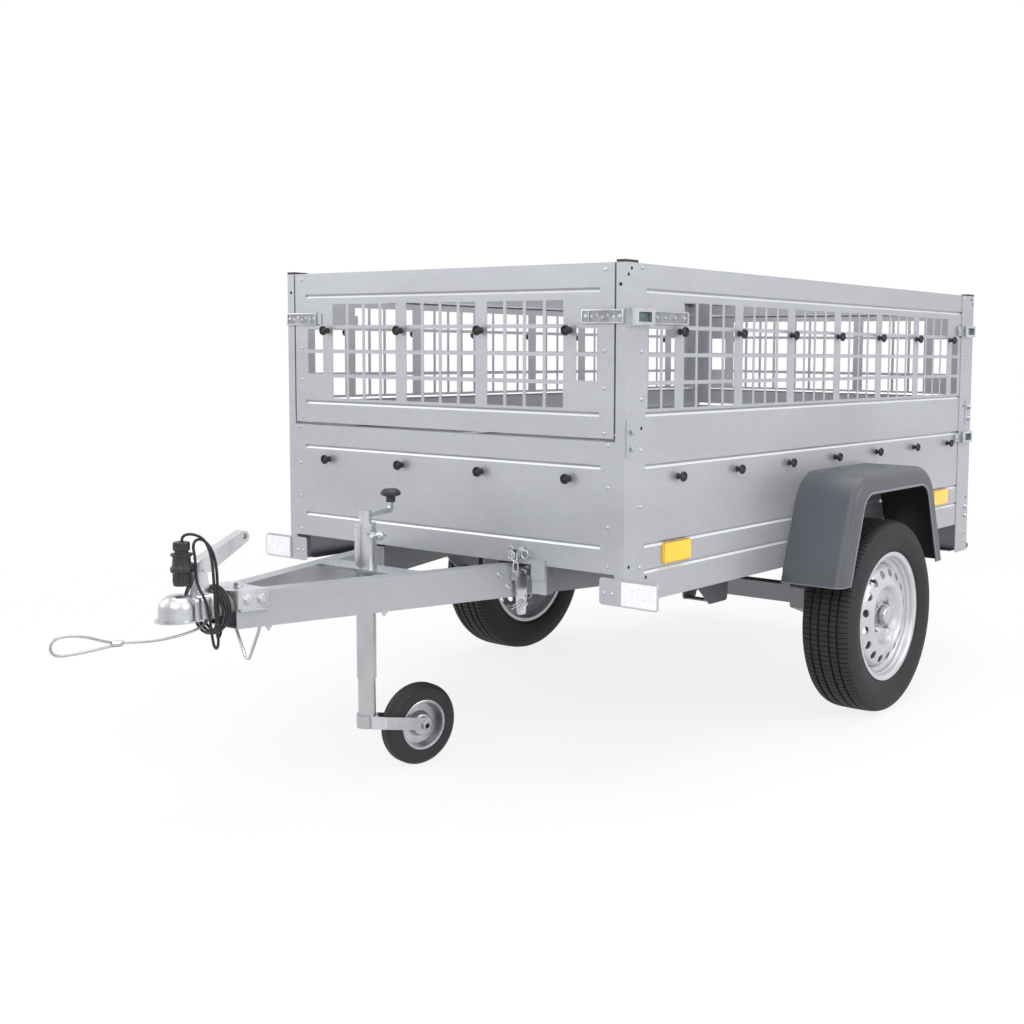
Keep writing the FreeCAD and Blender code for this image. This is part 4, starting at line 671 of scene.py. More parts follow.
def smooth_cord(name, points, width):
    """A round cord on one smooth line that the points pull along."""
    curve = bpy.data.curves.new(name, "CURVE")
    curve.dimensions = "3D"
    curve.bevel_depth = width / 2
    curve.bevel_resolution = 3
    curve.resolution_u = 10
    curve.use_fill_caps = True
    line = curve.splines.new("NURBS")
    line.points.add(len(points) - 1)
    for spot, place in zip(line.points, points):
        spot.co = (*place, 1.0)
    line.order_u = 3
    line.use_endpoint_u = True
    piece = bpy.data.objects.new(name, curve)
    bpy.context.collection.objects.link(piece)
    return piece


# Operators


class TrailerStep:
    """What the operators share: they can be undone, and they leave nothing selected."""

    bl_options = {"REGISTER", "UNDO"}

    def done(self):
        clear_selection()
        return {"FINISHED"}


class TRAILER_OT_stage(TrailerStep, bpy.types.Operator):
    """Set up the camera, the pale floor, the white surround and the soft lamps"""

    bl_idname = "trailer.stage"
    bl_label = "Stage"

    def execute(self, context):
        clear_selection()
        scene = context.scene
        scene.view_settings.view_transform = "Standard"
        scene.camera = self.camera(35.78, 5.19, 0.56)
        bpy.ops.mesh.primitive_plane_add(size=160.0, location=(0.0, 0.0, 0.0))
        ground = bpy.context.object
        ground.name = "studio_floor"
        ground.data.materials.append(self.ground_finish())
        self.surround(scene)
        self.lamp("key", (2.6, -4.6, 4.4), (0.0, 0.0, 0.6), 4.0, 118.0)
        self.lamp("side", (6.0, 1.2, 3.4), (0.0, 0.4, 0.6), 3.4, 120.0)
        self.lamp("fill", (-4.6, -3.8, 3.6), (0.0, 0.0, 0.6), 4.5, 60.0)
        self.lamp("top", (0.0, 1.0, 6.0), (0.0, 0.3, 0.0), 5.0, 190.0)
        return self.done()

    def camera(self, *angles):
        """The camera where the photographer's stood, from its yaw, pitch and roll in degrees."""
        yaw, pitch, roll = (math.radians(angle) for angle in angles)
        back = Vector((math.sin(yaw) * math.cos(pitch), -math.cos(yaw) * math.cos(pitch), math.sin(pitch)))
        right = Vector((math.cos(yaw), math.sin(yaw), 0.0))
        up = back.cross(right)
        level = math.cos(roll) * right + math.sin(roll) * up
        rise = math.cos(roll) * up - math.sin(roll) * right
        turn = Matrix((level, rise, back)).transposed().to_4x4()
        camera = bpy.data.objects.new("camera", bpy.data.cameras.new("camera"))
        camera.matrix_world = Matrix.Translation(at(2350.75, -3454.66, 1014.65)) @ turn
        camera.data.sensor_width = 36.0
        # The focal length and the width of the photograph's frame, in its pixels
        camera.data.lens = 1339.48 / 1024.0 * camera.data.sensor_width
        camera.data.shift_x = -0.12645
        camera.data.shift_y = -0.03811
        camera.data.clip_end = 200.0
        bpy.context.collection.objects.link(camera)
        return camera

    def ground_finish(self):
        """Pale floor with the trailer's soft shadow, which turns white to the eye away from the trailer."""
        material, place = new_finish("studio_floor")
        pale = place.noise(3.0, 2.0).blend((0.93, 0.93, 0.93, 1.0), (0.96, 0.96, 0.96, 1.0))
        oval = place.stretched(1.0, 0.62, 1.0)
        away = oval.node("VectorMath", {"operation": "LENGTH"}, {0: oval}, out="Value")
        share = 0.84 + away.between(1.1, 3.4) * 0.16
        matt = place.node("BsdfDiffuse", {}, {"Color": pale})
        light = place.node("Emission", {}, {"Color": (1.0, 1.0, 1.0, 1.0), "Strength": 1.0})
        both = place.node("MixShader", {}, {0: self.seen(place) * share, 1: matt, 2: light})
        place.node("OutputMaterial", {}, {"Surface": both})
        return material

    def seen(self, blank):
        """1 for what the camera sees straight on, or in metal or glass."""
        path = blank.node("LightPath", {}, {}, out="Is Camera Ray")
        rays = path.socket.node.outputs
        mirrored, through = (Wire(blank.tree, rays[name]) for name in ("Is Glossy Ray", "Is Transmission Ray"))
        return path.larger(mirrored).larger(through)

    def surround(self, scene):
        """White to the camera, and half as strong on the trailer."""
        scene.world = bpy.data.worlds.new("surround")
        scene.world.use_nodes = True
        scene.world.node_tree.nodes.clear()
        blank = Wire(scene.world.node_tree)
        strength = 0.5 + self.seen(blank) * 0.5
        sky = blank.node("Background", {}, {"Color": (1.0, 1.0, 1.0, 1.0), "Strength": strength})
        blank.node("OutputWorld", {}, {"Surface": sky})

    def lamp(self, name, place, target, size, power):
        light = bpy.data.lights.new(name, "AREA")
        light.shape = "SQUARE"
        light.size = size
        light.energy = power
        stand = bpy.data.objects.new(name, light)
        stand.location = place
        stand.rotation_euler = (Vector(place) - Vector(target)).to_track_quat("Z", "Y").to_euler()
        bpy.context.collection.objects.link(stand)


class TRAILER_OT_finishes(TrailerStep, bpy.types.Operator):
    """Give every solid of the frame its finish"""

    bl_idname = "trailer.finishes"
    bl_label = "Finishes"

    def execute(self, context):
        make_finishes(context.scene.trailer_colours)
        slots = {part["node"]: part["material_slot"] for part in frame["record"]["subparts"]}
        for name, node in frame["nodes"].items():
            for place in node.material_slots:
                place.material = FINISHES[slots[name]]
        return self.done()


class TRAILER_OT_cable(TrailerStep, bpy.types.Operator):
    """Lighting cable from the arm, round the coupling's neck and up to its plug"""

    bl_idname = "trailer.cable"
    bl_label = "Lighting cable"

    def execute(self, context):
        width = context.scene.trailer_sizes.cable_width
        route = [(-30.58, -1684, 442), (-30.4, -1684.2, 411), (-18, -1701, 396), (-8, -1713, 405)]
        route += self.coil()
        # First bow, up beside the plug, down in front and back up to the neck
        route += [(26, -1746, 423), (44, -1749, 450), (48, -1750, 480), (46, -1749, 520), (44, -1749, 565),
                  (37, -1755, 602), (24, -1767, 622), (15, -1779, 620), (15, -1784.5, 606), (20, -1783, 586),
                  (21, -1783, 550), (24, -1781, 525), (38, -1779, 508), (47, -1775, 485), (49, -1771, 455),
                  (46, -1766, 430), (41, -1759, 408), (36, -1752, 394), (31, -1742, 388), (30, -1737, 402)]
        # Second bow, over the plug and into it
        route += [(37, -1745, 422), (48, -1755, 448), (51, -1759, 490), (49, -1760, 530), (46, -1760, 570),
                  (41, -1763, 600), (33, -1771, 624), (17, -1786, 634), (3, -1799, 631), (0, -1801, 617),
                  (0, -1801, 604)]
        points = [at(*point) for point in route]
        cable = smooth_cord("lighting_cable", points, width)
        plug_piece = self.plug(at(0.0, -1801.0, 527.0))
        dress(cable, "cable", "drawbar")
        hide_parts("plug_cable", "cable_coil", "tail_cable")
        return self.done()

    def coil(self, steps=14):
        """Four turns round the coupling's neck, each from one y, radius and height to the next."""
        turns = ((-1717, 46, 471), (-1723.5, 49, 468), (-1730, 51, 466), (-1736.5, 48, 469), (-1743, 50, 467))
        points = []
        for k in range(4 * steps + 1):
            angle = 2 * math.pi * k / steps
            turn = min(k // steps, 3)
            share = k / steps - turn
            y, radius, height = (a + (b - a) * share for a, b in zip(turns[turn], turns[turn + 1]))
            points.append((radius * math.sin(angle), y, height - radius * math.cos(angle)))
        return points

    def plug(self, centre):
        """The plug, with its ribbed grip, lugs, cap ring and clamp nut."""
        shell = turned("plug_shell", [
            (14.5, 4), (16.4, 1.2), (17, 0), (17.8, 1), (18, 25), (19.5, 27), (22.2, 28.4), (23, 30), (23, 37),
            (22, 38.6), (19.6, 41), (19, 43), (18, 59), (18.6, 60.5), (21.2, 61.6), (22, 63), (22, 66),
            (20.5, 67), (14, 68), (13.6, 69), (13.6, 72), (14.4, 73)], 40, centre)
        nut = turned("plug_nut", [
            (13.8, 72), (16.2, 72.6), (17, 74), (17, 88), (16, 90), (12, 91), (7.5, 91),
            (6.5, 89.5)], 40, centre)
        pick_faces(nut, lambda middle, normal: abs(normal.z) < 0.2 and self.hollow(middle - centre, 20))
        bpy.ops.mesh.inset(thickness=0.0006, depth=0.0, use_individual=True)
        swell(-0.0009)
        leave_edit()
        lug = block("plug_lug", (-0.004, 0.0, -0.006), (0.004, 0.0035, 0.006), 1.2)
        lugs = copied(lug, [self.around(centre, angle, reach, height) for angle, reach, height in (
            (65, 0.0165, 0.062), (245, 0.0165, 0.062), (20, 0.0168, 0.022), (200, 0.0168, 0.022))])
        rib = block("plug_rib", (-0.0009, 0.0, 0.006), (0.0009, 0.0014, 0.024), 0.4, 1)
        ribs = copied(rib, [self.around(centre, 20.0 * k, 0.0172) for k in range(18)])
        piece = joined("trailer_plug", [shell, nut, lugs, ribs])
        dress(piece, "black_plastic", "drawbar")
        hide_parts("lighting_plug")
        return piece

    def around(self, centre, angle, reach, height=0.0):
        """Moves a piece made at the origin to the plug's wall, at an angle round it."""
        turn = Matrix.Rotation(math.radians(angle), 4, "Z")
        return Matrix.Translation(centre + UP * height) @ turn @ Matrix.Translation((0.0, reach, 0.0))

    def hollow(self, off, count):
        """Whether a face lies on every other facet round the nut."""
        turn = math.atan2(off.y, off.x) / (2 * math.pi) * 2 * count
        return math.floor(turn) % 2 == 0


class TRAILER_OT_rope(TrailerStep, bpy.types.Operator):
    """Safety rope with its ferrule and loop"""

    bl_idname = "trailer.rope"
    bl_label = "Safety rope"

    def execute(self, context):
        width = context.scene.trailer_sizes.rope_width
        route = [at(*point) for point in (
            (14, -1742, 459), (22, -1762, 444), (31, -1792, 436.5), (32, -1832, 431.5), (22, -1870, 427.5),
            (8, -1908, 428), (2, -1942, 432.5), (2, -1961, 435.6), (2, -1986, 443), (1, -2014, 455),
            (-1, -2046, 463.5), (-3, -2081, 463.5), (-4, -2091.4, 445.5), (-3, -2081, 427.5),
            (-1, -2046, 426.5), (1, -2014, 427), (2, -1986, 428.5), (2, -1961, 429.6))]
        start = at(2, -1941, 431.4)
        end = at(2, -1966, 433.1)
        length = (end - start).length * 1000.0
        sleeve = turned("ferrule", [
            (3.0, 0.3), (4.6, 0), (5.6, 1), (6.3, 4), (6.5, 8), (6.5, length - 6), (6.2, length - 2),
            (4.6, length), (3.0, length - 0.4)], 20, start, end - start)
        pick_faces(sleeve, lambda middle, normal: abs(normal.z) > 0.92)
        bpy.ops.mesh.inset(thickness=0.0012, depth=-0.0005)
        leave_edit()
        dress(sleeve, "zinc_plate", "drawbar")
        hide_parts("rope_ferrule")
        rope = dress(smooth_cord("safety_rope", route, width), "rope", "drawbar")
        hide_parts("rope_lead", "rope_loop")
        return self.done()


class TRAILER_OT_tyres(TrailerStep, bpy.types.Operator):
    """Tyres with grooves, sipes and ribbed walls"""

    bl_idname = "trailer.tyres"
    bl_label = "Tyres"

    def execute(self, context):
        sizes = context.scene.trailer_sizes
        pitch = 2 * math.pi / sizes.tread_pitches
        sipe = pitch * 0.15
        piece = outline("tyre", [(x / 1000.0, radius / 1000.0) for x, radius in self.section()], fill=False)
        edit(piece, "VERT")
        for angle in (sipe, pitch - sipe):
            bpy.ops.mesh.spin(steps=1, angle=angle, center=ORIGIN, axis=(1.0, 0.0, 0.0))
        bpy.ops.mesh.select_all(action="SELECT")
        bpy.ops.mesh.normals_make_consistent(inside=False)
        leave_edit()
        reach = max(abs(math.atan2(face.center.y, face.center.z)) for face in piece.data.polygons)
        pick_faces(piece, lambda middle, normal: self.rib_top(middle, normal, reach * 0.5))
        swell(-sizes.sipe_depth)
        leave_edit()
        places = [Matrix.Rotation(pitch * k, 4, "X") for k in range(sizes.tread_pitches)]
        tyre = closed(copied(piece, places, "tyre"), 40.0)
        for name, side in SIDES:
            place = Matrix.Translation(at(side * WHEEL_OUT, 0.0, WHEEL_RISE))
            made = copied(tyre, [place], f"road_tyre_{name}", keep=True)
            dress(made, "tyre", f"wheel_{name}")
            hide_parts(f"tyre_{name}")
        remove(tyre)
        return self.done()

    def section(self):
        """Distance from the tyre's middle and radius, over the tread with its grooves and back inside."""
        half = [(60.4, 172.5), (61.6, 180), (63.2, 186.5), (66.6, 191), (69.4, 193.4), (70.2, 196), (73.4, 205),
                (76.2, 215), (77.9, 224), (78.4, 229), (78.2, 234), (77.2, 240.5), (75.8, 246), (76.0, 247.2),
                (75.6, 249.8), (74.8, 251), (73.4, 255.4), (71.2, 260.2), (68.2, 264.4), (64.0, 267.8),
                (57.0, 270.6), (50.0, 272.0), (43.5, 272.7), (42.9, 266.2), (37.1, 266.2), (36.5, 273.0),
                (28.0, 273.3), (19.5, 273.4), (18.9, 266.5), (13.1, 266.5), (12.5, 273.5), (4.0, 273.5)]
        inner = [(-46.5, 172.6), (-50.5, 188.0), (-66.0, 226.0), (-60.0, 261.5)]
        return (half + [(-x, radius) for x, radius in reversed(half)] + inner
                + [(-x, radius) for x, radius in reversed(inner)])

    def rib_top(self, middle, normal, reach):
        """Whether a face lies in the sipe's narrow strip and on a rib, but not on a groove's floor."""
        radius = math.hypot(middle.y, middle.z)
        groove_floor = 0.2658 < radius < 0.2668 and abs(normal.x) < 0.1
        return (abs(math.atan2(middle.y, middle.z)) < reach and radius > 0.2655 and abs(normal.x) < 0.75
                and not groove_floor)


class TRAILER_OT_mudguards(TrailerStep, bpy.types.Operator):
    """Mudguards with rounded edges and a beaded lip"""

    bl_idname = "trailer.mudguards"
    bl_label = "Mudguards"

    def execute(self, context):
        along, inward, turn, start, centre = guard_bend()
        foot = at(0.0, -GUARD_FOOT_REACH, GUARD_FOOT) - along * 0.03
        piece = outline("mudguard", [(x / 1000.0, -deep / 1000.0) for x, deep in self.section()])
        lean = Matrix(((1.0, 0.0, 0.0), (0.0, along.y, -inward.y), (0.0, along.z, -inward.z))).to_4x4()
        piece.data.transform(Matrix.Translation(foot) @ lean)
        level = Vector((0.0, 2 * (AXLE_BACK / 1000.0 - centre.y), 0.0))
        edit(piece)
        pull(start - foot)
        bpy.ops.mesh.spin(steps=10, angle=turn, center=centre, axis=(1.0, 0.0, 0.0))
        pull(level)
        bpy.ops.mesh.spin(steps=10, angle=turn, center=centre + level, axis=(1.0, 0.0, 0.0))
        pull(Vector((0.0, along.y, -along.z)) * (start - foot).length)
        bpy.ops.mesh.select_all(action="SELECT")
        bpy.ops.mesh.bisect(plane_co=(0.0, 0.0, GUARD_FOOT / 1000.0), plane_no=UP, use_fill=True,
                            clear_inner=True)
        closed(piece, 32.0)
        for name, place in (("left", Matrix.Identity(4)), ("right", MIRROR)):
            made = copied(piece, [place], f"moulded_guard_{name}", keep=True)
            dress(made, "guard_plastic", "chassis")
            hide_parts(f"mudguard_{name}")
        remove(piece)
        return self.done()

    def section(self):
        """Distance out and depth of the arch's wall: over its rounded edge, round the lip and back inside."""
        def edge(thick, order):
            radius = GUARD_EDGE - thick
            angles = [k * math.pi / 12 for k in order]
            return [(GUARD_EDGE_OUT + radius * math.sin(a), GUARD_EDGE - radius * math.cos(a)) for a in angles]

        lip = [(750.0, 48.5), (751.6, 50.0), (752.0, 52.6), (751.2, 55.2), (749.0, 56.0), (746.6, 55.0),
               (746.0, 52.0)]
        return ([(568.6, 0.0), (640.0, -0.4)] + edge(0.0, range(7)) + lip
                + edge(GUARD_SHEET, range(6, -1, -1)) + [(640.0, 3.6), (568.6, GUARD_SHEET)])


class TRAILER_OT_wheels(TrailerStep, bpy.types.Operator):
    """Steel wheels: a rolled rim with its seats and well, and a pressed disc with a ring of vents"""

    bl_idname = "trailer.wheels"
    bl_label = "Steel wheels"

    def execute(self, context):
        axis = outward(1)
        rim = turned("rim", [
            (182, -65), (183, -63), (181, -61), (175, -61), (172, -58), (170.5, -37), (150, -27),
            (150, 21), (170.5, 33), (172, 58), (175, 61), (181, 61), (183, 63), (183, 64.4), (181, 65),
            (176.5, 64.6), (172.5, 63.4), (169.6, 60.6), (168.2, 56), (167.4, 49), (165.8, 46),
            (163.6, 44.2), (162.6, 40), (161.6, 36.5), (158.6, 33.6), (152.4, 29), (148.4, 25.6),
            (146.4, 21), (146, 14), (146, -28), (166.5, -38), (168, -58), (172, -64), (176, -65),
            (182, -65)], 72, axis=axis, ring=True)
        plate = turned("disc", [
            (147, 18), (146, 26), (143.6, 34), (140, 41), (135.5, 45.6), (129, 48.8), (121, 52), (110, 55.6),
            (101, 60.2), (94, 62), (89.4, 61), (84.6, 57), (79.4, 48), (75.6, 38.6), (71.6, 34.6), (66, 34),
            (29, 34), (29, 30), (68, 30), (74, 34), (80.4, 44), (86.6, 53.6), (93, 57.6), (99, 56.2),
            (107.6, 51.8), (119.4, 48), (128, 45), (133.8, 42), (138, 37.6), (141, 30), (142.6, 20), (144, 15),
            (147, 18)], 96, axis=axis, ring=True)
        punch = turned("punch", [(12.4, 0), (11.2, 50)], 16, axis * 0.02, axis)
        punches = copied(punch, [Matrix.Rotation(math.radians(22.5 * k + 11.25), 4, "X") @
                                 Matrix.Translation((0.0, 0.1222, 0.0)) for k in range(16)], "punches")
        modified(plate, "BOOLEAN", operation="DIFFERENCE", solver="EXACT", object=punches)
        remove(punches)
        wheel = joined("wheel", [rim, closed(plate, 32.0)])
        for name, side in SIDES:
            turn = Matrix.Identity(4) if side > 0 else MIRROR
            place = Matrix.Translation(at(side * WHEEL_OUT, 0.0, WHEEL_RISE)) @ turn
            made = copied(wheel, [place], f"steel_wheel_{name}", keep=True)
            dress(made, "wheel_silver", f"wheel_{name}")
            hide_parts(f"rim_{name}")
        remove(wheel)
        return self.done()


class TRAILER_OT_wheel_fittings(TrailerStep, bpy.types.Operator):
    """Wheel bolts, dust caps and valves"""

    bl_idname = "trailer.wheel_fittings"
    bl_label = "Wheel fittings"

    def execute(self, context):
        for name, side in SIDES:
            body = f"wheel_{name}"
            centre = at(side * WHEEL_OUT, 0.0, WHEEL_RISE)
            out = outward(side)
            seat = turned("seat", [(10.5, 0), (10.5, 1), (8.8, 4.5)], 20)
            head = turned("head", [(9.2, 3), (9.2, 13), (8.2, 15), (5.5, 15.4), (5.0, 14.6)], 6)
            places = [facing(centre + out * 0.0342 + self.spoke(45 + 90 * k) * 0.049, out, 0.3 * k)
                      for k in range(4)]
            dress(copied(joined("bolt", [seat, head]), places, f"wheel_bolts_{name}"), "zinc_plate", body)
            cap = turned(f"dust_cap_{name}", [
                (29.5, 34), (29.5, 37), (26.6, 38.5), (26, 44), (26, 56), (24.5, 60), (20, 62.5), (10, 63.4),
                (3, 63.6)], 32, centre, out)
            dress(cap, "zinc_plate", body)
            spoke = self.spoke(128)
            valve = turned(f"valve_{name}", [
                (6.5, 0), (6.5, 4), (4.2, 10), (3.6, 22), (4.3, 23), (4.3, 31), (3.4, 33)], 14,
                centre + out * 0.03 + spoke * 0.1475, out * 0.9 - spoke * 0.3)
            dress(valve, "wheel_rubber", body)
        return self.done()

    def spoke(self, degrees):
        angle = math.radians(degrees)
        return Vector((0.0, math.cos(angle), math.sin(angle)))


class TRAILER_OT_jockey(TrailerStep, bpy.types.Operator):
    """Axle nuts, rolled rim edges and moulded rings of the jockey wheel"""

    bl_idname = "trailer.jockey"
    bl_label = "Jockey wheel fittings"

    def execute(self, context):
        nuts, holes, beads, rings = [], [], [], []
        for axle in (JOCKEY_AXLE, -JOCKEY_AXLE):
            nuts.append(turned("nut", [(11.4, 31.9), (12.0, 33.0), (12.0, 38.0), (10.8, 39.4), (7.4, 39.4),
                                       (6.8, 38.6), (6.8, 37.1)], 6, JOCKEY_CENTRE, axle))
            # A near-black disc paints the shade in each nut's bore
            holes.append(turned("hole", [(6.4, 37.2), (6.4, 38.0), (4.0, 38.2)], 16, JOCKEY_CENTRE, axle))
            beads.append(turned("bead", [(56.4, 22.8), (57.4, 24.8), (59.4, 25.3), (61.0, 24.6), (61.4, 22.8),
                                         (59.4, 22), (56.4, 22.8)], 56, JOCKEY_CENTRE, axle, ring=True))
            for radius in (67.0, 80.0):
                rings.append(turned("ring", [
                    (radius - 0.9, 23.8), (radius - 0.4, 24.5), (radius + 0.4, 24.5), (radius + 0.9, 23.8),
                    (radius, 23.5), (radius - 0.9, 23.8)], 48, JOCKEY_CENTRE, axle, ring=True))
        dress(joined("jockey_axle_nuts", nuts), "zinc_plate", "jockey_fork")
        dress(joined("jockey_axle_holes", holes), "hole", "jockey_fork")
        dress(joined("jockey_rim_beads", beads), "zinc_plate", "jockey_wheel")
        dress(joined("jockey_tyre_rings", rings), "wheel_rubber", "jockey_wheel")
        return self.done()


class TRAILER_OT_knobs(TrailerStep, bpy.types.Operator):
    """Tarpaulin knobs round the box"""

    bl_idname = "trailer.knobs"
    bl_label = "Tarpaulin knobs"

    def execute(self, context):
        sizes = context.scene.trailer_sizes
        across = sizes.knob_width / 0.025
        tall = sizes.knob_height / 0.02
        knob = turned("knob", [(radius * across, height * tall) for radius, height in (
            (8.0, 0), (8.0, 2.0), (6.0, 3.4), (5.4, 6.0), (5.6, 8.6), (7.4, 11.0), (11.0, 12.6), (12.4, 14.2),
            (12.5, 16.6), (11.8, 18.8), (10.6, 20), (9.6, 19.6), (8.6, 16.6), (7.2, 15.2), (6.2, 16.8),
            (5.4, 17.4), (2.0, 17.6))], 20)
        low, high = BUTTON_ROWS
        for body, y, z in (("chassis", BOX_FRONT, low), ("front_gate", BOX_FRONT, high),
                           ("tailgate", BOX_REAR, low), ("rear_gate", BOX_REAR, high)):
            # The rear ones are a little flatter, to stay inside the frame's length
            out, deep = (FORWARD, 1.0) if y == BOX_FRONT else (BACKWARD, 0.88)
            places = [facing(at(x, y, z), out) @ Matrix.Diagonal((1.0, 1.0, deep, 1.0)) for x in FRONT_BUTTONS]
            if body == "chassis":
                places += [facing(at(side * BOX_SIDE, along, row), outward(side)) for _, side in SIDES
                           for along in SIDE_BUTTONS for row in BUTTON_ROWS]
            dress(copied(knob, places, f"tarpaulin_knobs_{body}", keep=True), "black_plastic", body)
        remove(knob)
        return self.done()


class TRAILER_OT_rivets(TrailerStep, bpy.types.Operator):
    """Rivets along the panels and posts, and near-black discs that paint the shade in the small holes beside
    them
    """

    bl_idname = "trailer.rivets"
    bl_label = "Rivets"

    def execute(self, context):
        share = context.scene.trailer_sizes.rivet_width / 0.0088
        rivet = turned("rivet", [(radius * share, height) for radius, height in (
            (4.4, 0), (4.4, 0.5), (3.9, 1.4), (2.6, 2.1), (1.2, 2.3))], 14)
        # A near-black disc paints the shade inside each hole
        hole = turned("hole", [(4.2, 0.02), (4.0, 0.16), (2.0, 0.18)], 14)
        bodies = {"chassis": [], "front_gate": [], "rear_gate": [], "tailgate": []}
        holes = []
        arm_holes = []
        for _, side in SIDES:
            out = outward(side)
            for z in (1197.0, 1015.0, 930.0, 829.0):
                bodies["front_gate"].append(facing(at(side * 512.5, BOX_FRONT, z), FORWARD))
                bodies["rear_gate"].append(facing(at(side * 512.5, BOX_REAR, z), BACKWARD))
            for z in (802.0, 705.0, 615.0, 524.0):
                bodies["chassis"].append(facing(at(side * 524.7, BOX_FRONT, z), FORWARD))
            for z in (795.0, 695.0, 610.0, 528.0):
                bodies["tailgate"].append(facing(at(side * 512.5, BOX_REAR, z), BACKWARD))
            for z in (1202.0, 1014.0, 906.0, 790.0, 660.0, 520.0):
                bodies["chassis"] += [facing(at(side * POST_SIDE, y, z), out) for y in (-987.0, 872.0)]
            bodies["chassis"] += [facing(at(side * x, BOX_FRONT - 2.0, 464.0), FORWARD) for x in (516.0, 539.0)]
            bodies["chassis"] += [facing(at(side * POST_SIDE, 929.0, z), out) for z in (404.0, 372.0)]
            for y, z in ((-1030.0, 526.0), (-986.0, 840.0), (-1039.0, 1185.0), (-1028.0, 1199.0)):
                # The rear post is the front one's mirror image
                holes += [facing(at(side * POST_SIDE, place, z), out) for place in (y, -100.0 - y)]
            holes.append(facing(at(side * BOX_SIDE, -960.0, 494.0), out))
            holes.append(facing(at(side * 556.0, BOX_FRONT, 1163.0), FORWARD))
            lean = Vector((side, -ARM_SLOPE, 0.0))
            arm_holes.append(facing(at(side * 223.6, -1124.0, 472.0), lean) @ Matrix.Scale(1.5, 4))
        for body, places in bodies.items():
            dress(copied(rivet, places, f"rivets_{body}", keep=True), "zinc_plate", body)
        dress(copied(hole, holes, "post_holes", keep=True), "hole", "chassis")
        dress(copied(hole, arm_holes, "arm_holes"), "hole", "drawbar")
        remove(rivet)
        return self.done()


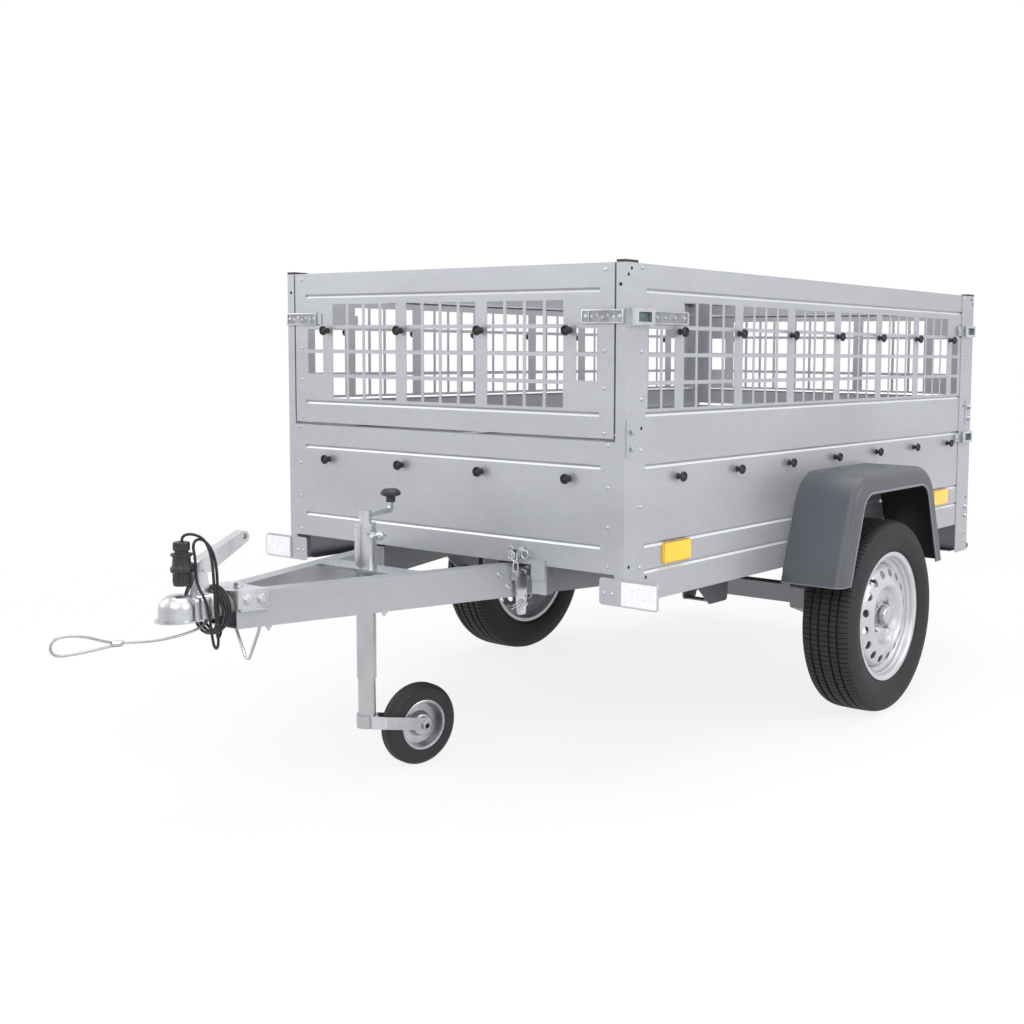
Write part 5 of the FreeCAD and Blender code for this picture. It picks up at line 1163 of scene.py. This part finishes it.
class TRAILER_OT_latches(TrailerStep, bpy.types.Operator):
    """Rimmed straps, rivets and windows of the toggle latches, and the wires of the tilt latch"""

    bl_idname = "trailer.latches"
    bl_label = "Latch details"

    def execute(self, context):
        pin = turned("pin", [(4.6, 0.6), (4.6, 2.0), (3.6, 3.0), (1.5, 3.2)], 12)
        self.gate_straps(pin)
        self.chassis_straps(pin)
        remove(pin)
        self.tilt_wires()
        return self.done()

    def gate_straps(self, pin):
        """The straps on the gates and tailgate, with their rivets, small dents and a bar."""
        strap = channel("strap", 118.0, 32.0)
        # Darker floors paint the shade inside the straps' rims
        floor = block("floor", (-0.0562, -0.0132, 0.0006), (0.0562, 0.0132, 0.0013), 0.2, 1)
        dent = turned("dent", [(3.4, 0.7), (3.2, 1.3), (1.6, 1.6)], 12)
        bar = block("bar", (-0.0012, -0.0135, 0.0007), (0.0012, 0.0135, 0.0032), 0.4, 1)
        dents = ((478.0, 0.0), (493.0, 3.0), (508.0, -2.0), (524.0, 3.0), (540.0, -1.0))
        gates = (("front_gate", BOX_FRONT - 3.0, FORWARD, LATCH_RISE),
                 ("rear_gate", BOX_REAR + 3.0, BACKWARD, LATCH_RISE),
                 ("tailgate", BOX_REAR + 3.0, BACKWARD, LOW_LATCH_RISE))
        for body, y, out, z in gates:
            pieces = []
            for _, side in SIDES:
                for kind, spots in ((strap, ((STRAP_OUT, 0.0),)), (pin, ((460.0, 0.0), (557.0, 0.0))),
                                    (dent, dents), (bar, ((470.0, 0.0),))):
                    places = [facing(at(side * x, y, z + rise), out) for x, rise in spots]
                    pieces.append(copied(kind, places, keep=True))
            dress(joined(f"latch_straps_{body}", pieces), "zinc_plate", body)
        for body, y, out, z in gates:
            places = [facing(at(side * STRAP_OUT, y, z), out) for _, side in SIDES]
            made = copied(floor, places, f"strap_floors_{body}", keep=True)
            dress(made, "shaded_strap_floor", body)
        remove(strap, floor, dent, bar)

    def chassis_straps(self, pin):
        """The latches' tails along the side walls, and the windows in their bodies."""
        tail = channel("tail", 138.0, 31.0)
        short = channel("short", 33.0, 31.0)
        # Darker floors paint the shade inside the tails' rims
        low = block("low", (-0.0662, -0.0127, 0.0006), (0.0662, 0.0127, 0.0013), 0.2, 1)
        pane = block("pane", (-0.024, -0.0108, 0.0), (0.024, 0.0108, 0.0016), 0.5, 1)
        pieces = []
        lows = []
        windows = []
        for _, side in SIDES:
            def on_side(y, z, x=573.0):
                return facing(at(side * x, y, z), outward(side))

            lows.append(on_side(-879.0, LATCH_RISE))
            pieces.append(copied(tail, lows[-1:], keep=True))
            pins = [on_side(y, LATCH_RISE) for y in (-934.0, -902.0, -862.0, -822.0)]
            pieces.append(copied(pin, pins, keep=True))
            for z in (LATCH_RISE, LOW_LATCH_RISE):
                pieces += [copied(kind, [on_side(829.0, z)], keep=True) for kind in (short, pin)]
                windows.append(on_side(903.0, z, 573.1))
            windows.append(on_side(-993.0, LATCH_RISE, 573.1))
        dress(joined("latch_tails", pieces), "zinc_plate", "chassis")
        dress(copied(low, lows, "tail_floors"), "shaded_strap_floor", "chassis")
        dress(copied(pane, windows, "latch_windows"), "latch_window", "chassis")
        remove(tail, short)

    def tilt_wires(self):
        """Rings through the eye of the tilt latch, its split pin and the handle of the jockey clamp."""
        ring = bent_wire("ring", 1.9, 10.0, 345.0)
        link = bent_wire("link", 1.9, 6.0, 180.0, (18.0, 18.0))
        rings = [copied(ring, [facing(at(x, y, z), FORWARD, turn) for x, y, z, turn in (
                     (241.0, -1059.0, 537.0, 0.4), (287.0, -1061.0, 531.0, 2.2),
                     (252.0, -1070.0, 528.0, 1.2))]),
                 copied(link, [facing(at(262.0, y, z), (0.5, -1, 0), turn) for y, z, turn in (
                     (-1066.0, 505.0, 0.0), (-1070.0, 520.0, math.pi))])]
        dress(joined("tilt_latch_rings", rings), "zinc_plate", "chassis")
        lean = Vector((1.0, -ARM_SLOPE, 0.0)).normalized()
        across = Vector((ARM_SLOPE, 1.0, 0.0)).normalized()
        face = at(252.5, -1036.0, 0.0) + lean * 0.017
        pin = bent_wire("split_pin", 1.2, 3.2, 180.0, (34.0, 30.0))
        eye = bent_wire("pin_eye", 1.2, 7.0, 345.0)
        spots = [facing(face + across * -0.006 + UP * 0.415, lean, math.radians(-66.0)),
                 facing(face + across * 0.004 + UP * 0.409 + lean * 0.0015, lean, math.radians(-48.0))]
        pins = [copied(pin, spots), copied(eye, [facing(face + across * 0.012 + UP * 0.428, lean)])]
        dress(joined("tilt_latch_pins", pins), "zinc_plate", "drawbar")
        grip = turned("clamp_grip", [
            (4.0, -6), (9.0, -5), (11.0, -3), (11.0, 3), (9.0, 5), (5.5, 6), (4.5, 9), (2.0, 10)], 20,
            at(50.0, -1300.0, 581.0), outward(1))
        tip = turned("clamp_tip", [(4.2, 0), (6.0, 1.5), (6.0, 5), (4.0, 7)], 14,
                     at(49.0, -1324.0, 581.0), FORWARD)
        dress(joined("clamp_screw", [grip, tip]), "zinc_plate", "drawbar")


class TRAILER_OT_bolts(TrailerStep, bpy.types.Operator):
    """Hexagon bolts of the coupling, drawbar and running gear"""

    bl_idname = "trailer.bolts"
    bl_label = "Bolts"

    def execute(self, context):
        # A hexagon's corners lie further out than its flats
        corner = context.scene.trailer_sizes.bolt_width * 1000.0 / math.sqrt(3.0)
        washer = turned("washer", [(corner + 2.6, 0), (corner + 2.6, 1.2), (corner + 2.0, 1.8)], 24)
        head, nut = (turned(name, [(corner * share, height) for share, height in shape], 6) for name, shape in (
            ("head", ((0.97, 1.6), (1.0, 2.4), (1.0, 7.4), (0.9, 8.6), (0.5, 8.8))),
            ("nut", ((0.9, 0), (0.9, 6.5), (0.75, 7.6), (0.42, 7.6), (0.42, 13), (0.34, 14)))))
        bolt = joined("bolt", [washer, head])
        drawbar = []
        small = []
        nuts = []
        chassis = []
        for _, side in SIDES:
            lean = Vector((side, -ARM_SLOPE, 0.0)).normalized()
            # Through the side plates of the coupling
            for y in (-1682.0, -1653.0):
                drawbar.append(facing(at(side * (arm_out(y) + ARM_HALF + 4.0), y, 485.0), lean, 0.2))
            nuts += [facing(at(side * arm_out(y), y, 425.0), -UP) for y in (-1624.0, -1365.0)]
            # On top of the coupling
            drawbar.append(facing(at(8.0, -1765.0, 507.0) if side > 0 else at(0.0, -1665.0, 507.0), UP))
            out = outward(side)
            for y in (-1026.0, 926.0):
                chassis += [facing(at(side * 572.0, y, z), out, 0.3) @ Matrix.Scale(0.88, 4)
                            for z in (835.0, 797.0)]
            chassis += [facing(at(side * POST_SIDE, 926.0, z), out, 0.3) @ Matrix.Scale(0.8, 4)
                        for z in (492.0, 462.0)]
            chassis.append(facing(at(side * 455.0, -470.0, 464.0), out))
            chassis += [facing(at(side * x, 911.0, 425.0), BACKWARD) for x in (350.0, 420.0)]
            chassis += [facing(at(side * 505.0, y, 392.0), out) for y in (-158.0, -122.0)]
        # By the tilt latch, on the left arm alone
        lean = Vector((1.0, -ARM_SLOPE, 0.0)).normalized()
        for y, z in ((-1093.0, 481.0), (-1070.0, 450.0)):
            small.append(facing(at(arm_out(y) + ARM_HALF, y, z), lean, 0.5) @ Matrix.Scale(0.62, 4))
        dress(copied(bolt, drawbar + small, "drawbar_bolts", keep=True), "zinc_plate", "drawbar")
        dress(copied(nut, nuts, "drawbar_nuts"), "zinc_plate", "drawbar")
        dress(copied(bolt, chassis, "chassis_bolts"), "zinc_plate", "chassis")
        return self.done()


class TRAILER_PT_panel(bpy.types.Panel):
    bl_label = "Trailer"
    bl_space_type = "VIEW_3D"
    bl_region_type = "UI"
    bl_category = "Trailer"

    def draw(self, context):
        for group in (context.scene.trailer_sizes, context.scene.trailer_colours):
            box = self.layout.box()
            for name in group.__annotations__:
                box.prop(group, name)
        for operator in OPERATORS:
            self.layout.operator(operator.bl_idname)


OPERATORS = (TRAILER_OT_stage, TRAILER_OT_finishes, TRAILER_OT_cable, TRAILER_OT_rope, TRAILER_OT_tyres,
             TRAILER_OT_mudguards, TRAILER_OT_wheels, TRAILER_OT_wheel_fittings, TRAILER_OT_jockey,
             TRAILER_OT_knobs, TRAILER_OT_rivets, TRAILER_OT_latches, TRAILER_OT_bolts)
CLASSES = (TrailerSizes, TrailerColours, *OPERATORS, TRAILER_PT_panel)


def register():
    for kind in CLASSES:
        bpy.utils.register_class(kind)
    bpy.types.Scene.trailer_sizes = PointerProperty(type=TrailerSizes)
    bpy.types.Scene.trailer_colours = PointerProperty(type=TrailerColours)


def unregister():
    del bpy.types.Scene.trailer_colours
    del bpy.types.Scene.trailer_sizes
    for kind in reversed(CLASSES):
        bpy.utils.unregister_class(kind)


def main():
    register()
    bpy.ops.trailer.stage()
    bpy.ops.trailer.finishes()
    bpy.ops.trailer.cable()
    bpy.ops.trailer.rope()
    bpy.ops.trailer.tyres()
    bpy.ops.trailer.mudguards()
    bpy.ops.trailer.wheels()
    bpy.ops.trailer.wheel_fittings()
    bpy.ops.trailer.jockey()
    bpy.ops.trailer.knobs()
    bpy.ops.trailer.rivets()
    bpy.ops.trailer.latches()
    bpy.ops.trailer.bolts()


if __name__ == "__main__":
    main()
